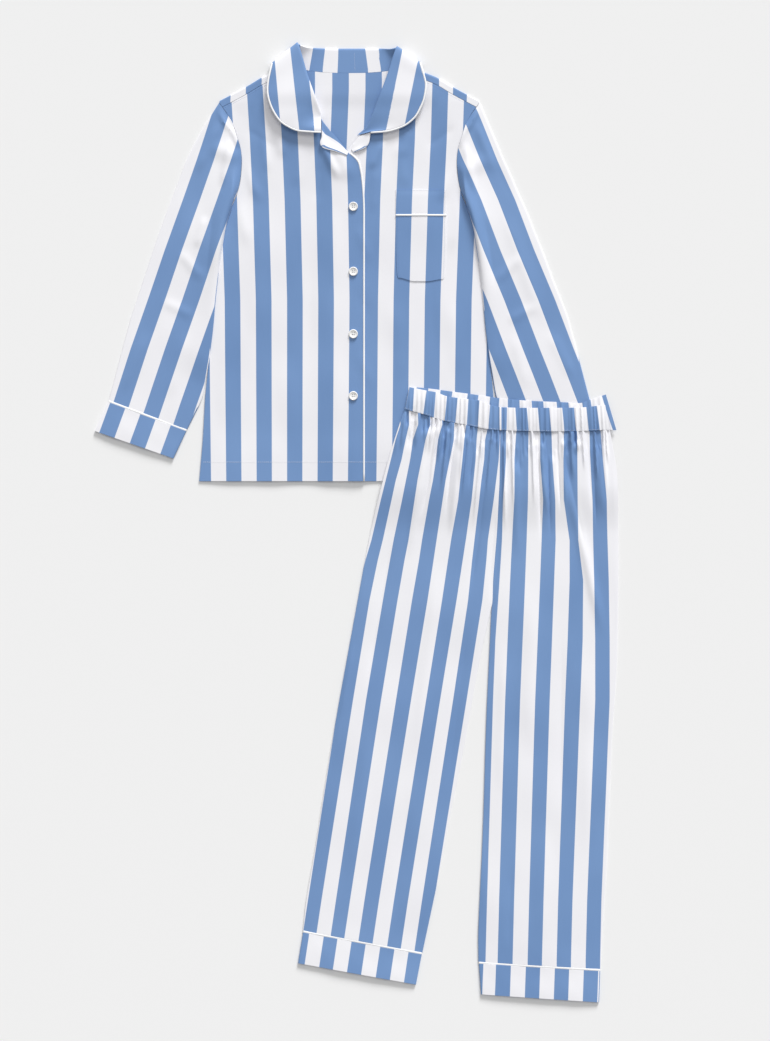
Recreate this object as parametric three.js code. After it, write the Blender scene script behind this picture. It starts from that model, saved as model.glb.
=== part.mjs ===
// A long-sleeved pyjama set laid flat: a buttoned shirt with a notched collar, and full-length
// trousers whose gathered waist lies over the shirt's lower corner. Millimetres, +X to the
// viewer's right, +Y towards the collar, +Z up from the surface that the set lies on.
// Left and right in names are the wearer's, so a right piece lies on the viewer's left.

import * as THREE from "three";

// Cloth and seams
const WALL = 1.2; // cotton with its turnings, as one pressed wall
const HALF = WALL / 2;
const SEAM = 0.35; // between two pieces at a seam
const LAYER = WALL + 0.6; // rise from one loosely lying layer to the next
const SIDE_LAYER = WALL + SEAM; // the same where two edges are sewn
const PIPE_WIDE = 3;
const PIPE_HIGH = 1.4;

// Where the two garments lie in the set
const SHIRT_AT = { x: -9, y: 70 };
const TROUSERS_AT = { x: 225, y: -781 };

// Shirt
const SHIRT_PUFF = 1.8; // air between back and front
const AIR_FROM_SIDE = 80; // distance over which it grows from nothing
const AIR_FROM_HEM = 60;
const COLLAR_UNDER_BACK = { low: 606, out: 156, rise: 28 }; // where the back lies on the collar
const PLACKET_EDGE = 22; // the overlap reaches this far past the centre line
const UNDERLAP_EDGE = -20;
const LAP_START = -62; // here the right front begins to rise over the left one
const LAP_RISE = 36;
const PLACKET_PIPING_TOP = 530;
const NECKLINE_END = 84; // past it the back's upper edge goes over from neckline to shoulder
const NECKLINE_BLEND = 26;
const SHOULDER_SPREAD = 440; // above it the back's rows spread up to the shoulder's slope
const SHOULDER_TURN = 12; // the back comes this far over the shoulder to its seam
const SLEEVE_PUFF = 1.4;
const CUFF_PIPE = 2.6; // width of the piping between a sleeve or leg and its cuff

// Trousers
const OVER_SHIRT = 5.2; // height of the shirt that the trousers lie on
const SHIRT_HEM_IN_TROUSERS = 851; // where the shirt's hem crosses them
const DROP_LENGTH = 80; // over which they come down to the surface
const LEG_PUFF = 2.2;
const GATHER_RISE = 2.4;
const GATHER_FADE = 150; // length over which the waist's gathers run out
const WAIST_PUCKER = 1.3;

const FRONT_SEAM = 12; // the seam between the legs, from the trousers' zero

// Buttons
const BUTTON_SIZE = 15;
const BUTTON_THICK = 2.6;
const BUTTON_HEIGHTS = [139, 240, 342, 448];
const BUTTON_LINE = 6.5;
const HOLE_RING = 2.1; // from the button's middle to each hole's
const HOLE_RADIUS = 1;

const COLOURS = { cloth: 0x7898c8, piping: 0xf4f5f7, button: 0xf2f1ec };

// Half-width of the shirt's body, from hem to armhole top: one row for each height
const BODY_SIDE = [
  { y: 0, x: 245 },
  { y: 69, x: 239 },
  { y: 139, x: 235 },
  { y: 226, x: 226 },
  { y: 283, x: 221 },
  { y: 332, x: 216 },
  { y: 409, x: 205 },
  { y: 430, x: 199 },
  { y: 472, x: 182 },
  { y: 497, x: 177 },
  { y: 534, x: 176 },
  { y: 565, x: 184 },
  { y: 590, x: 193 },
  { y: 618, x: 212 },
];
const SHOULDER_TIP = 618;

// Height of the fold over the shoulder, from the centre line out
const SHOULDER_FOLD = [
  { x: 0, y: 712 },
  { x: 60, y: 706 },
  { x: 97, y: 677 },
  { x: 120, y: 668 },
  { x: 143, y: 659 },
  { x: 165, y: 646 },
  { x: 185, y: 635 },
  { x: 212, y: 621 },
];
const NECK_SIDE = 97; // where shoulder and neckline meet, from the centre line
const BACK_NECK = [
  { x: 0, y: 666 },
  { x: 40, y: 667 },
  { x: 74, y: 671 },
  { x: NECK_SIDE, y: 675 },
];

// Rows of the shirt's body from hem to shoulder: height at the side, then height and place of
// the wearer's right front's edge (overlap, roll line, neckline) and of the left front's.
const BODY_ROWS = [
  { side: 0, rightY: 0, rightX: PLACKET_EDGE, leftY: 0, leftX: UNDERLAP_EDGE },
  { side: 69, rightY: 69, rightX: PLACKET_EDGE, leftY: 69, leftX: UNDERLAP_EDGE },
  { side: 139, rightY: 139, rightX: PLACKET_EDGE, leftY: 139, leftX: UNDERLAP_EDGE },
  { side: 190, rightY: 195, rightX: PLACKET_EDGE, leftY: 195, leftX: UNDERLAP_EDGE },
  { side: 245, rightY: 255, rightX: PLACKET_EDGE, leftY: 255, leftX: UNDERLAP_EDGE },
  { side: 300, rightY: 315, rightX: PLACKET_EDGE, leftY: 315, leftX: UNDERLAP_EDGE },
  { side: 345, rightY: 365, rightX: PLACKET_EDGE, leftY: 365, leftX: UNDERLAP_EDGE },
  { side: 385, rightY: 410, rightX: PLACKET_EDGE, leftY: 410, leftX: UNDERLAP_EDGE },
  { side: 415, rightY: 443, rightX: PLACKET_EDGE, leftY: 440, leftX: UNDERLAP_EDGE },
  { side: 440, rightY: 470, rightX: 21, leftY: 470, leftX: UNDERLAP_EDGE },
  { side: 458, rightY: 492, rightX: 19, leftY: 494, leftX: UNDERLAP_EDGE },
  { side: 472, rightY: 508, rightX: 16.5, leftY: 510, leftX: -18 },
  { side: 490, rightY: 522, rightX: 12, leftY: 525, leftX: -12 },
  { side: 508, rightY: 537, rightX: -3, leftY: 540, leftX: -2 },
  { side: 527, rightY: 566, rightX: -27, leftY: 567, leftX: 19.5 },
  { side: 545, rightY: 597, rightX: -50.8, leftY: 588, leftX: 41 },
  { side: 563, rightY: 612, rightX: -58.8, leftY: 615, leftX: 55.8 },
  { side: 582, rightY: 635, rightX: -71.8, leftY: 644, leftX: 75.8 },
  { side: 600, rightY: 656, rightX: -85, leftY: 658, leftX: 84.8 },
  { side: 606, rightY: 671, rightX: -95.5, leftY: 671, leftX: 95 },
];

// Sleeve edges from cuff seam to armhole, both sleeves as if they lay on the viewer's left. The
// wearer's left one is slimmer towards the shoulder.
const SLEEVE_OUTER = {
  right: [
    { y: 132, x: -393 },
    { y: 266, x: -357 },
    { y: 296, x: -347 },
    { y: 399, x: -313 },
    { y: 492, x: -279 },
    { y: 525, x: -267 },
    { y: 573, x: -244 },
    { y: 621, x: -217 },
  ],
  left: [
    { y: 132, x: -393 },
    { y: 266, x: -357 },
    { y: 296, x: -346 },
    { y: 328, x: -333 },
    { y: 377, x: -315 },
    { y: 443, x: -288.6 },
    { y: 500, x: -264 },
    { y: 557, x: -239.6 },
    { y: 590, x: -226.5 },
    { y: 621, x: -214.5 },
  ],
};
const SLEEVE_INNER = [
  { y: 84, x: -265 },
  { y: 108, x: -253 },
  { y: 139, x: -239 },
  { y: 190, x: -232.5 },
  { y: 245, x: -225.5 },
  { y: 300, x: -220.6 },
  { y: 345, x: -215.4 },
  { y: 385, x: -209.5 },
  { y: 415, x: -204.4 },
  { y: 440, x: -196.4 },
  { y: 458, x: -189 },
  { y: 472, x: -182.5 },
];
const CUFF_END = { outer: [-416, 82], inner: [-287, 37] };

// Collar stations from the wearer's right notch round the back to the left notch. Each row
// holds the roll line, the outer edge, the neck seam and the turn: 0 lies under the back,
// 180 on the front.
const COLLAR = [
  { roll: [-46.5, 595], outer: [-46, 570], neck: [-50, 597], turn: 180 },
  { roll: [-47.5, 599], outer: [-65, 571], neck: [-52.5, 602], turn: 180 },
  { roll: [-50, 607], outer: [-84, 573], neck: [-58, 612], turn: 180 },
  { roll: [-54, 618], outer: [-100, 580], neck: [-64, 623], turn: 180 },
  { roll: [-59, 633], outer: [-113, 590], neck: [-71, 635], turn: 180 },
  { roll: [-65, 650], outer: [-125, 610], neck: [-79, 648], turn: 180 },
  { roll: [-71, 668], outer: [-131, 632], neck: [-86.5, 660], turn: 180 },
  { roll: [-77, 690], outer: [-130, 653], neck: [-93, 672], turn: 180 },
  { roll: [-81, 709], outer: [-121, 676], neck: [-96, 681], turn: 135 },
  { roll: [-81, 709], outer: [-121, 676], neck: [-96, 681], turn: 90 },
  { roll: [-81, 709], outer: [-121, 676], neck: [-96, 681], turn: 45 },
  { roll: [-71, 707], outer: [-112, 664], neck: [-89, 679], turn: 0 },
  { roll: [-56, 706], outer: [-90, 650], neck: [-72, 671.5], turn: 0 },
  { roll: [-30, 705], outer: [-50, 643], neck: [-38, 667.5], turn: 0 },
  { roll: [0, 705], outer: [0, 641], neck: [0, 666.5], turn: 0 },
  { roll: [30, 705], outer: [50, 643], neck: [38, 667.5], turn: 0 },
  { roll: [54, 705], outer: [90, 650], neck: [72, 671.5], turn: 0 },
  { roll: [68, 704], outer: [104, 664], neck: [89, 679], turn: 0 },
  { roll: [75, 704], outer: [111, 678], neck: [96, 681], turn: 45 },
  { roll: [75, 704], outer: [111, 678], neck: [96, 681], turn: 90 },
  { roll: [75, 704], outer: [111, 678], neck: [96, 681], turn: 135 },
  { roll: [71, 688], outer: [120, 660], neck: [92, 672], turn: 180 },
  { roll: [65, 668], outer: [123, 645], neck: [84, 658], turn: 180 },
  { roll: [58, 648], outer: [120, 624], neck: [75, 644], turn: 180 },
  { roll: [51, 630], outer: [114, 609], neck: [65, 630], turn: 180 },
  { roll: [44, 611], outer: [106, 595], neck: [55, 615], turn: 180 },
  { roll: [38, 595], outer: [92, 583], neck: [45.4, 600], turn: 180 },
  { roll: [32, 582], outer: [76, 576], neck: [38, 588], turn: 180 },
  { roll: [24, 572], outer: [60, 572], neck: [26, 576], turn: 180 },
  { roll: [14, 564.5], outer: [35, 570], neck: [15.5, 567], turn: 180 },
];

// Turned-back top of each front, from the break up: outer edge and roll line
const REVERES = [
  {
    name: "revere_right",
    outer: [[-4, 531], [-22, 537], [-42, 543], [-47.5, 551], [-45, 560], [-44.6, 569.5]],
    roll: [[-2, 536], [-13, 550], [-24, 563], [-33, 573], [-40, 582], [-45.2, 590]],
  },
  {
    name: "revere_left",
    outer: [[7, 536], [14, 538.5], [26, 544], [31.5, 551], [33.5, 560], [34.6, 568.6]],
    roll: [[3.5, 541.5], [5, 545], [6, 549], [9, 553], [12, 558], [14.6, 561.5]],
  },
];

// Breast pocket on the wearer's left front
const POCKET = { top: 475, band: 434, left: 76, right: 158, low: 327, side: 337, lean: 3, corner: 9 };

// Trousers' edges: one row for each height above the lower leg's hem
const RIGHT_LEG_OUTER = [
  { y: 117, x: -309.5 },
  { y: 167, x: -304 },
  { y: 248, x: -290 },
  { y: 330, x: -277 },
  { y: 412, x: -264 },
  { y: 493, x: -250 },
  { y: 575, x: -235 },
  { y: 657, x: -220 },
  { y: 722, x: -208 },
  { y: 771, x: -198.5 },
  { y: 820, x: -187 },
  { y: 886, x: -170 },
  { y: 951, x: -150 },
  { y: 966, x: -144 },
];
const RIGHT_LEG_INNER = [
  { y: 81, x: -115 },
  { y: 199, x: -90 },
  { y: 330, x: -64.5 },
  { y: 412, x: -48 },
  { y: 546, x: -24 },
  { y: 642, x: -3 },
  { y: 652, x: -0.6 },
  { y: 690, x: 0.8 },
  { y: 722, x: 3.3 },
  { y: 771, x: 7.2 },
  { y: 820, x: 9.5 },
  { y: 853, x: 11 },
  { y: 933, x: 12 },
];
const LEFT_LEG_INNER = [
  { y: 66, x: -23 },
  { y: 117, x: -23 },
  { y: 248, x: -17 },
  { y: 330, x: -14 },
  { y: 461, x: -10 },
  { y: 591, x: -4 },
  { y: 640, x: -1.6 },
  { y: 652, x: -0.2 },
  { y: 690, x: 1.2 },
  { y: 722, x: 3.7 },
  { y: 771, x: 7.6 },
  { y: 820, x: 9.9 },
  { y: 853, x: 11.4 },
  { y: 933, x: 12.4 },
];
const LEFT_LEG_OUTER = [
  { y: 54, x: 176 },
  { y: 134, x: 180 },
  { y: 216, x: 185.5 },
  { y: 330, x: 190 },
  { y: 454, x: 196 },
  { y: 542, x: 202 },
  { y: 624, x: 204 },
  { y: 722, x: 205 },
  { y: 820, x: 204 },
  { y: 869, x: 202 },
  { y: 935, x: 192 },
];
const RIGHT_LEG_END = { outer: [-318, 64], inner: [-125, 29] };
const LEFT_LEG_END = { outer: [174, 0], inner: [-19, 13] };

// Waistband: seam, front's top edge and back's top edge, from one side to the other
const WAIST_SEAM = [
  { x: -143, y: 968 },
  { x: -114, y: 960 },
  { x: -79, y: 949 },
  { x: -42, y: 942 },
  { x: -6, y: 935 },
  { x: 16, y: 933.5 },
  { x: 56, y: 932 },
  { x: 96, y: 931.5 },
  { x: 136, y: 932 },
  { x: 190, y: 934 },
];
const FRONT_WAIST_TOP = [
  { x: -128, y: 1003 },
  { x: -107, y: 998 },
  { x: -91, y: 995 },
  { x: -75, y: 989 },
  { x: -38, y: 984 },
  { x: -22, y: 982 },
  { x: -6, y: 975.5 },
  { x: 16, y: 971 },
  { x: 92, y: 970 },
  { x: 148, y: 971 },
  { x: 183, y: 975 },
];
const BACK_WAIST_TOP = [
  { x: -136, y: 1004.5 },
  { x: -107, y: 1002 },
  { x: -61, y: 996 },
  { x: -20, y: 990.5 },
  { x: 15, y: 985.5 },
  { x: 56, y: 982 },
  { x: 122, y: 979 },
  { x: 143, y: 978 },
  { x: 160, y: 984 },
  { x: 185, y: 992 },
];
const WAIST_LEFT_END = -143;
const FRONT_WAIST_RIGHT_END = 191;
const BACK_WAIST_RIGHT_END = 202;
const PUCKER_RISES = [1, 0.55, 0.85, 0.4, 0.95, 0.7, 0.5];

// Curves through short tables

function smooth(t) {
  const c = THREE.MathUtils.clamp(t, 0, 1);
  return c * c * (3 - 2 * c);
}

// Value of one column of a table at a place in another, on a smooth curve through its rows.
function read(rows, along, column) {
  return (place) => {
    const last = rows.length - 1;
    let i = 0;
    while (i < last - 1 && rows[i + 1][along] < place) i++;
    const [a, b] = [rows[i], rows[i + 1]];
    const before = rows[Math.max(i - 1, 0)];
    const after = rows[Math.min(i + 2, last)];
    const span = b[along] - a[along];
    const t = THREE.MathUtils.clamp((place - a[along]) / span, 0, 1);
    const leave = ((b[column] - before[column]) / (b[along] - before[along])) * span;
    const arrive = ((after[column] - a[column]) / (after[along] - a[along])) * span;
    const bend = t * t * (3 - 2 * t);
    return (
      a[column] * (1 - bend) +
      b[column] * bend +
      leave * t * (1 - t) * (1 - t) +
      arrive * t * t * (t - 1)
    );
  };
}

// An edge that runs by height: 0 at the first row, 1 at the last one.
function edgeByHeight(rows) {
  const across = read(rows, "y", "x");
  return (t) => {
    const y = THREE.MathUtils.lerp(rows[0].y, rows.at(-1).y, t);
    return new THREE.Vector2(across(y), y);
  };
}

// An edge that runs across between two places, at the heights of a table.
function edgeAcross(rows, from, to, shift = 0) {
  const height = read(rows, "x", "y");
  return (t) => {
    const x = from + (to - from) * t;
    return new THREE.Vector2(x, height(x) + shift);
  };
}

function edgeThrough(points) {
  const curve = new THREE.SplineCurve(points.map(([x, y]) => new THREE.Vector2(x, y)));
  return (t) => curve.getPoint(t);
}

function straight(from, to) {
  return (t) => from.clone().lerp(to, t);
}

// A four-sided piece between its own edges: near and far run across, left and right along.
function patch({ near, far, left, right }) {
  const cornerA = left(0);
  const cornerB = right(0);
  const cornerC = left(1);
  const cornerD = right(1);
  const low = near ?? straight(cornerA, cornerB);
  const high = far ?? straight(cornerC, cornerD);
  return (u, v) => {
    const between = low(u)
      .multiplyScalar(1 - v)
      .addScaledVector(high(u), v)
      .addScaledVector(left(v), 1 - u)
      .addScaledVector(right(v), u);
    return between
      .addScaledVector(cornerA, -(1 - u) * (1 - v))
      .addScaledVector(cornerB, -u * (1 - v))
      .addScaledVector(cornerC, -(1 - u) * v)
      .addScaledVector(cornerD, -u * v);
  };
}

// Walls of cloth

function signedVolume(points, faces) {
  const normal = new THREE.Vector3();
  return faces.reduce((sum, [a, b, c]) => {
    normal.crossVectors(points[b], points[c]);
    return sum + points[a].dot(normal);
  }, 0);
}

function solid(points, faces) {
  const outward = signedVolume(points, faces) > 0;
  const turned = outward ? faces : faces.map(([a, b, c]) => [a, c, b]);
  const geometry = new THREE.BufferGeometry().setFromPoints(points);
  geometry.setIndex(turned.flat());
  geometry.computeVertexNormals();
  return geometry;
}

// A wall round the middle points in rows. A closed wall joins each row's end to its start.
function wallOf(rows, { closed = false, wall = WALL } = {}) {
  const along = rows.length;
  const across = rows[0].length;
  const next = (i) => (closed ? (i + 1) % across : Math.min(i + 1, across - 1));
  const previous = (i) => (closed ? (i + across - 1) % across : Math.max(i - 1, 0));
  const points = [];
  rows.forEach((row, j) => {
    row.forEach((middle, i) => {
      const sideways = row[next(i)].clone().sub(row[previous(i)]);
      const lengthways = rows[Math.min(j + 1, along - 1)][i].clone().sub(rows[Math.max(j - 1, 0)][i]);
      const out = sideways.cross(lengthways).normalize().multiplyScalar(wall / 2);
      points.push(middle.clone().add(out), middle.clone().sub(out));
    });
  });
  const outer = (i, j) => 2 * (j * across + i);
  const inner = (i, j) => outer(i, j) + 1;
  const faces = [];
  const quad = (a, b, c, d) => faces.push([a, b, c], [a, c, d]);
  const columns = closed ? across : across - 1;
  for (let j = 0; j < along - 1; j++) {
    for (let i = 0; i < columns; i++) {
      const k = next(i);
      quad(outer(i, j), outer(k, j), outer(k, j + 1), outer(i, j + 1));
      quad(inner(i, j), inner(i, j + 1), inner(k, j + 1), inner(k, j));
    }
  }
  for (let i = 0; i < columns; i++) {
    const k = next(i);
    quad(outer(i, 0), inner(i, 0), inner(k, 0), outer(k, 0));
    quad(outer(i, along - 1), outer(k, along - 1), inner(k, along - 1), inner(i, along - 1));
  }
  if (!closed) {
    for (let j = 0; j < along - 1; j++) {
      quad(outer(0, j), outer(0, j + 1), inner(0, j + 1), inner(0, j));
      const e = across - 1;
      quad(outer(e, j), inner(e, j), inner(e, j + 1), outer(e, j + 1));
    }
  }
  return solid(points, faces);
}

function steps(count, spread = (t) => t) {
  return Array.from({ length: count + 1 }, (_, i) => spread(i / count));
}

// A panel: its outline as a patch, its height as a function of the place.
function panel(outline, height, columns, rows, spread) {
  return wallOf(
    steps(rows, spread).map((v) =>
      steps(columns).map((u) => {
        const p = outline(u, v);
        return new THREE.Vector3(p.x, p.y, height(p.x, p.y, u, v));
      }),
    ),
  );
}

// A tube pressed flat: a lower and an upper layer in one ring, folded at both sides.
function flatTube(outline, { puff, columns, stations, wall = WALL, extra = 0 }) {
  const fold = (LAYER + extra) / 2;
  const places = steps(columns);
  return wallOf(
    stations.map((v) => {
      const start = outline(0, v);
      const end = outline(1, v);
      const inward = end.clone().sub(start).setLength(fold + wall / 2);
      const low = wall / 2;
      const rise = (u) => 2 * fold + puff * Math.sin(Math.PI * u) ** 0.7;
      const at = (p, z) => new THREE.Vector3(p.x, p.y, z);
      const place = (u) => {
        if (u === 0) return start.clone().add(inward);
        if (u === 1) return end.clone().sub(inward);
        return outline(u, v);
      };
      const edge = inward.clone().setLength(wall / 2);
      return [
        ...places.map((u) => at(place(u), low)),
        at(end.clone().sub(edge), low + fold),
        ...[...places].reverse().map((u) => at(place(u), low + rise(u))),
        at(start.clone().add(edge), low + fold),
      ];
    }),
    { closed: true, wall },
  );
}

// Piping of flattened round section along a line of middle points. Each point may say which way
// the section's width lies; otherwise it lies level.
function cord(middles, widthways = [], wide = PIPE_WIDE, high = PIPE_HIGH, sides = 6) {
  const points = [];
  const up = new THREE.Vector3(0, 0, 1);
  middles.forEach((middle, j) => {
    const ahead = middles[Math.min(j + 1, middles.length - 1)];
    const run = ahead.clone().sub(middles[Math.max(j - 1, 0)]).normalize();
    const level = run.clone().cross(up);
    const above = (widthways[j] ?? level).clone().cross(run).normalize();
    const across = run.clone().cross(above).normalize();
    for (let k = 0; k < sides; k++) {
      const turn = (2 * Math.PI * k) / sides;
      points.push(
        middle
          .clone()
          .addScaledVector(across, (wide / 2) * Math.cos(turn))
          .addScaledVector(above, (high / 2) * Math.sin(turn)),
      );
    }
  });
  const faces = [];
  const last = (middles.length - 1) * sides;
  for (let k = 0; k < sides; k++) {
    const n = (k + 1) % sides;
    for (let j = 0; j < last; j += sides) {
      faces.push([j + k, j + n, j + sides + n], [j + k, j + sides + n, j + sides + k]);
    }
    if (k > 0 && k < sides - 1) {
      faces.push([0, k + 1, k], [last, last + k, last + k + 1]);
    }
  }
  return solid(points, faces);
}

function piece(name, geometry, kind = "cloth") {
  const material = new THREE.MeshStandardMaterial({
    color: COLOURS[kind],
    roughness: kind === "button" ? 0.35 : 0.85,
    metalness: 0,
  });
  const mesh = new THREE.Mesh(geometry, material);
  mesh.name = name;
  return mesh;
}

// Heights of the shirt's layers, as the middle of each wall

const sideAt = read(BODY_SIDE, "y", "x");
const shoulderAt = read(SHOULDER_FOLD, "x", "y");
const backNeckAt = read(BACK_NECK, "x", "y");

// The back lies on the surface, and over the collar near the neck.
function backHeight(x, y) {
  const { low, out, rise } = COLLAR_UNDER_BACK;
  const overCollar = smooth((y - low) / rise) * smooth((out - Math.abs(x)) / rise);
  return HALF + LAYER * overCollar;
}

function shirtAir(x, y) {
  const fromSide = smooth((sideAt(Math.min(y, SHOULDER_TIP)) - Math.abs(x)) / AIR_FROM_SIDE);
  return SHIRT_PUFF * fromSide * smooth(y / AIR_FROM_HEM);
}

function leftFrontHeight(x, y) {
  return backHeight(x, y) + SIDE_LAYER + shirtAir(x, y);
}

// The wearer's right front laps over the left one at the buttons.
function rightFrontHeight(x, y) {
  return leftFrontHeight(x, y) + LAYER * smooth((x - LAP_START) / LAP_RISE);
}

// Shirt body

// The back's cloth beyond the shoulder comes over it and down to the seam.
function overShoulder(x, reach) {
  const crest = shoulderAt(Math.abs(x));
  const low = backHeight(x, crest);
  const radius = (leftFrontHeight(x, crest) - low) / 2;
  const past = reach - (crest - radius - HALF);
  if (past <= 0) return new THREE.Vector3(x, reach, backHeight(x, reach));
  const turn = past / radius;
  const start = crest - radius - HALF;
  if (turn < Math.PI) {
    return new THREE.Vector3(x, start + radius * Math.sin(turn), low + radius * (1 - Math.cos(turn)));
  }
  const y = start - (past - Math.PI * radius);
  return new THREE.Vector3(x, y, leftFrontHeight(x, y));
}

// Cloth reach of the back above the hem, to the shoulder seam or to the neckline.
function backReach(x) {
  const out = Math.abs(x);
  const crest = shoulderAt(out);
  const radius = (leftFrontHeight(x, crest) - backHeight(x, crest)) / 2;
  const wrapped = crest - radius - HALF + Math.PI * radius + SHOULDER_TURN - radius - HALF;
  const turned = smooth((out - NECKLINE_END) / NECKLINE_BLEND);
  return backNeckAt(Math.min(out, NECK_SIDE)) * (1 - turned) + wrapped * turned;
}

// Where a line that crosses the armhole near the shoulder meets it, by a few steps towards it.
function onArmhole(lineHeight) {
  return steps(5).reduce((x) => sideAt(Math.min(lineHeight(x), SHOULDER_TIP)), sideAt(SHOULDER_TIP));
}

function shirtBack() {
  const across = steps(20, (t) => 2 * t - 1);
  const heights = BODY_ROWS.map((row) => row.side);
  heights[heights.length - 1] = SHOULDER_TIP;
  // The flat part ends just short of the shoulder's crest, or 3 mm short of the neckline.
  const flatTop = (x) => Math.min(backReach(x) - 3, shoulderAt(Math.abs(x)) - 4);
  const rows = heights.map((y) =>
    across.map((s) => {
      const x = s * sideAt(y);
      const freed = y < SHOULDER_TIP ? 1 - s ** 6 : 1;
      const spread = smooth((y - SHOULDER_SPREAD) / (SHOULDER_TIP - SHOULDER_SPREAD));
      const rise = freed * spread * (flatTop(x) - SHOULDER_TIP);
      return new THREE.Vector3(x, y + rise, backHeight(x, y + rise));
    }),
  );
  for (const share of [0.14, 0.28, 0.42, 0.56, 0.75, 1]) {
    rows.push(
      across.map((s) => {
        const turned = (x) => overShoulder(x, THREE.MathUtils.lerp(flatTop(x), backReach(x), share));
        return turned(s * onArmhole((x) => turned(x).y));
      }),
    );
  }
  return wallOf(rows);
}

// A front: each row runs from the side or armhole to the front's own edge.
function frontPanel(mirror, edge, height) {
  const columns = 10;
  const seamAt = (x) => shoulderAt(Math.abs(x)) - SHOULDER_TURN - 2 * SEAM;
  const top = BODY_ROWS.length - 1;
  const rows = BODY_ROWS.map((row, j) => {
    const side = new THREE.Vector2(mirror * (j === top ? onArmhole(seamAt) : sideAt(row.side)), row.side);
    const opening = new THREE.Vector2(...edge(row));
    return steps(columns).map((t) => {
      const p = side.clone().lerp(opening, t);
      if (j === top) p.y = seamAt(p.x);
      return new THREE.Vector3(p.x, p.y, height(p.x, p.y));
    });
  });
  return wallOf(rows);
}

// The sleeve's rows end at the same heights as the body's, so that the two edges run together.
function sleeveRows() {
  const low = SLEEVE_INNER[0].y;
  const high = SLEEVE_INNER.at(-1).y;
  return SLEEVE_INNER.map((row) => (high - row.y) / (high - low)).reverse();
}

function sleeveOutline(outerEdge) {
  const armhole = (t) => {
    const y = THREE.MathUtils.lerp(SHOULDER_TIP, SLEEVE_INNER.at(-1).y, t);
    return new THREE.Vector2(-sideAt(y) - SEAM - 0.15, y);
  };
  const outer = edgeByHeight(outerEdge);
  const inner = edgeByHeight(SLEEVE_INNER);
  const shiftOuter = armhole(0).sub(outer(1));
  return patch({
    near: armhole,
    left: (t) => outer(1 - t).addScaledVector(shiftOuter, (1 - t) ** 6),
    right: (t) => inner(1 - t),
  });
}

function cuffOutline(seamOuter, seamInner, end) {
  return patch({
    left: straight(seamOuter, new THREE.Vector2(...end.outer)),
    right: straight(seamInner, new THREE.Vector2(...end.inner)),
  });
}

// The piping that is sewn in between a sleeve or leg and its cuff, and the cuff below it
function pipingForm(cuff, puff) {
  const depth = cuff(0, 0).distanceTo(cuff(0, 1));
  return {
    puff,
    columns: 8,
    stations: [SEAM / depth, (SEAM + CUFF_PIPE) / depth],
    extra: 0.3,
  };
}

function cuffForm(cuff, puff) {
  const depth = cuff(0, 0).distanceTo(cuff(0, 1));
  const start = (2 * SEAM + CUFF_PIPE) / depth;
  return { puff, columns: 8, stations: steps(2, (t) => start + (1 - start) * t) };
}

// Sleeve, its piping and its cuff. The wearer's left ones are turned over, with their own outer edge.
function sleevePieces(side, mirror) {
  const outerEdge = SLEEVE_OUTER[side];
  const turned = (outline) => (u, v) => {
    const p = outline(u, v);
    return new THREE.Vector2(mirror * p.x, p.y);
  };
  const sleeve = turned(sleeveOutline(outerEdge));
  const seamOuter = new THREE.Vector2(outerEdge[0].x, outerEdge[0].y);
  const seamInner = new THREE.Vector2(SLEEVE_INNER[0].x, SLEEVE_INNER[0].y);
  const cuff = turned(cuffOutline(seamOuter, seamInner, CUFF_END));
  return [
    piece("sleeve_" + side, flatTube(sleeve, { puff: SLEEVE_PUFF, columns: 8, stations: sleeveRows() })),
    piece("cuff_piping_" + side, flatTube(cuff, pipingForm(cuff, SLEEVE_PUFF)), "piping"),
    piece("cuff_" + side, flatTube(cuff, cuffForm(cuff, SLEEVE_PUFF))),
  ];
}

// Collar: neck seam, stand, roll line and fall in one sheet round the neck
function collarRows() {
  const across = [
    { part: "stand", share: 1 },
    { part: "stand", share: 0.5 },
    { part: "stand", share: 0.08 },
    { part: "roll", share: 0 },
    { part: "fall", share: 0.05 },
    { part: "fall", share: 0.28 },
    { part: "fall", share: 0.52 },
    { part: "fall", share: 0.76 },
    { part: "fall", share: 1 },
  ];
  return COLLAR.map((row) => {
    const roll = new THREE.Vector2(...row.roll);
    const side = Math.sign(roll.x);
    const turn = THREE.MathUtils.degToRad(row.turn);
    return across.map(({ part, share }) => {
      const end = new THREE.Vector2(...(part === "stand" ? row.neck : row.outer));
      const p = roll.clone().lerp(end, share);
      const front = side < 0 ? rightFrontHeight(p.x, p.y) : leftFrontHeight(p.x, p.y);
      const heights = {
        stand: [HALF + LAYER, front],
        roll: [HALF + LAYER / 2, front + LAYER / 2],
        fall: [HALF, front + LAYER],
      };
      const [low, high] = heights[part];
      const radius = (high - low) / 2;
      const bulge = radius * Math.sin(turn) * Math.SQRT1_2;
      const z = low + radius * (1 - Math.cos(turn));
      const pull = part === "roll" ? LAYER / 2 : 0;
      const inward = roll.clone().sub(new THREE.Vector2(...row.outer)).setLength(pull);
      return new THREE.Vector3(p.x + side * bulge + inward.x, p.y + bulge + inward.y, z);
    });
  });
}

function collarPieces() {
  const rows = collarRows();
  const outward = rows.map((_, j) => {
    const here = Math.min(j, rows.length - 2);
    const run = rows[here + 1].at(-1).clone();
    run.sub(rows[Math.max(here - 1, 0)].at(-1)).normalize();
    const out = rows[here].at(-1).clone().sub(rows[here].at(-2));
    return out.addScaledVector(run, -out.dot(run));
  });
  const edge = rows.map((row, j) => {
    const middle = row.at(-1).clone().add(outward[j].clone().setLength(PIPE_WIDE / 2 + SEAM));
    middle.z = Math.max(middle.z, PIPE_HIGH / 2);
    return middle;
  });
  return [piece("collar", wallOf(rows)), piece("collar_piping", cord(edge, outward), "piping")];
}

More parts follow.
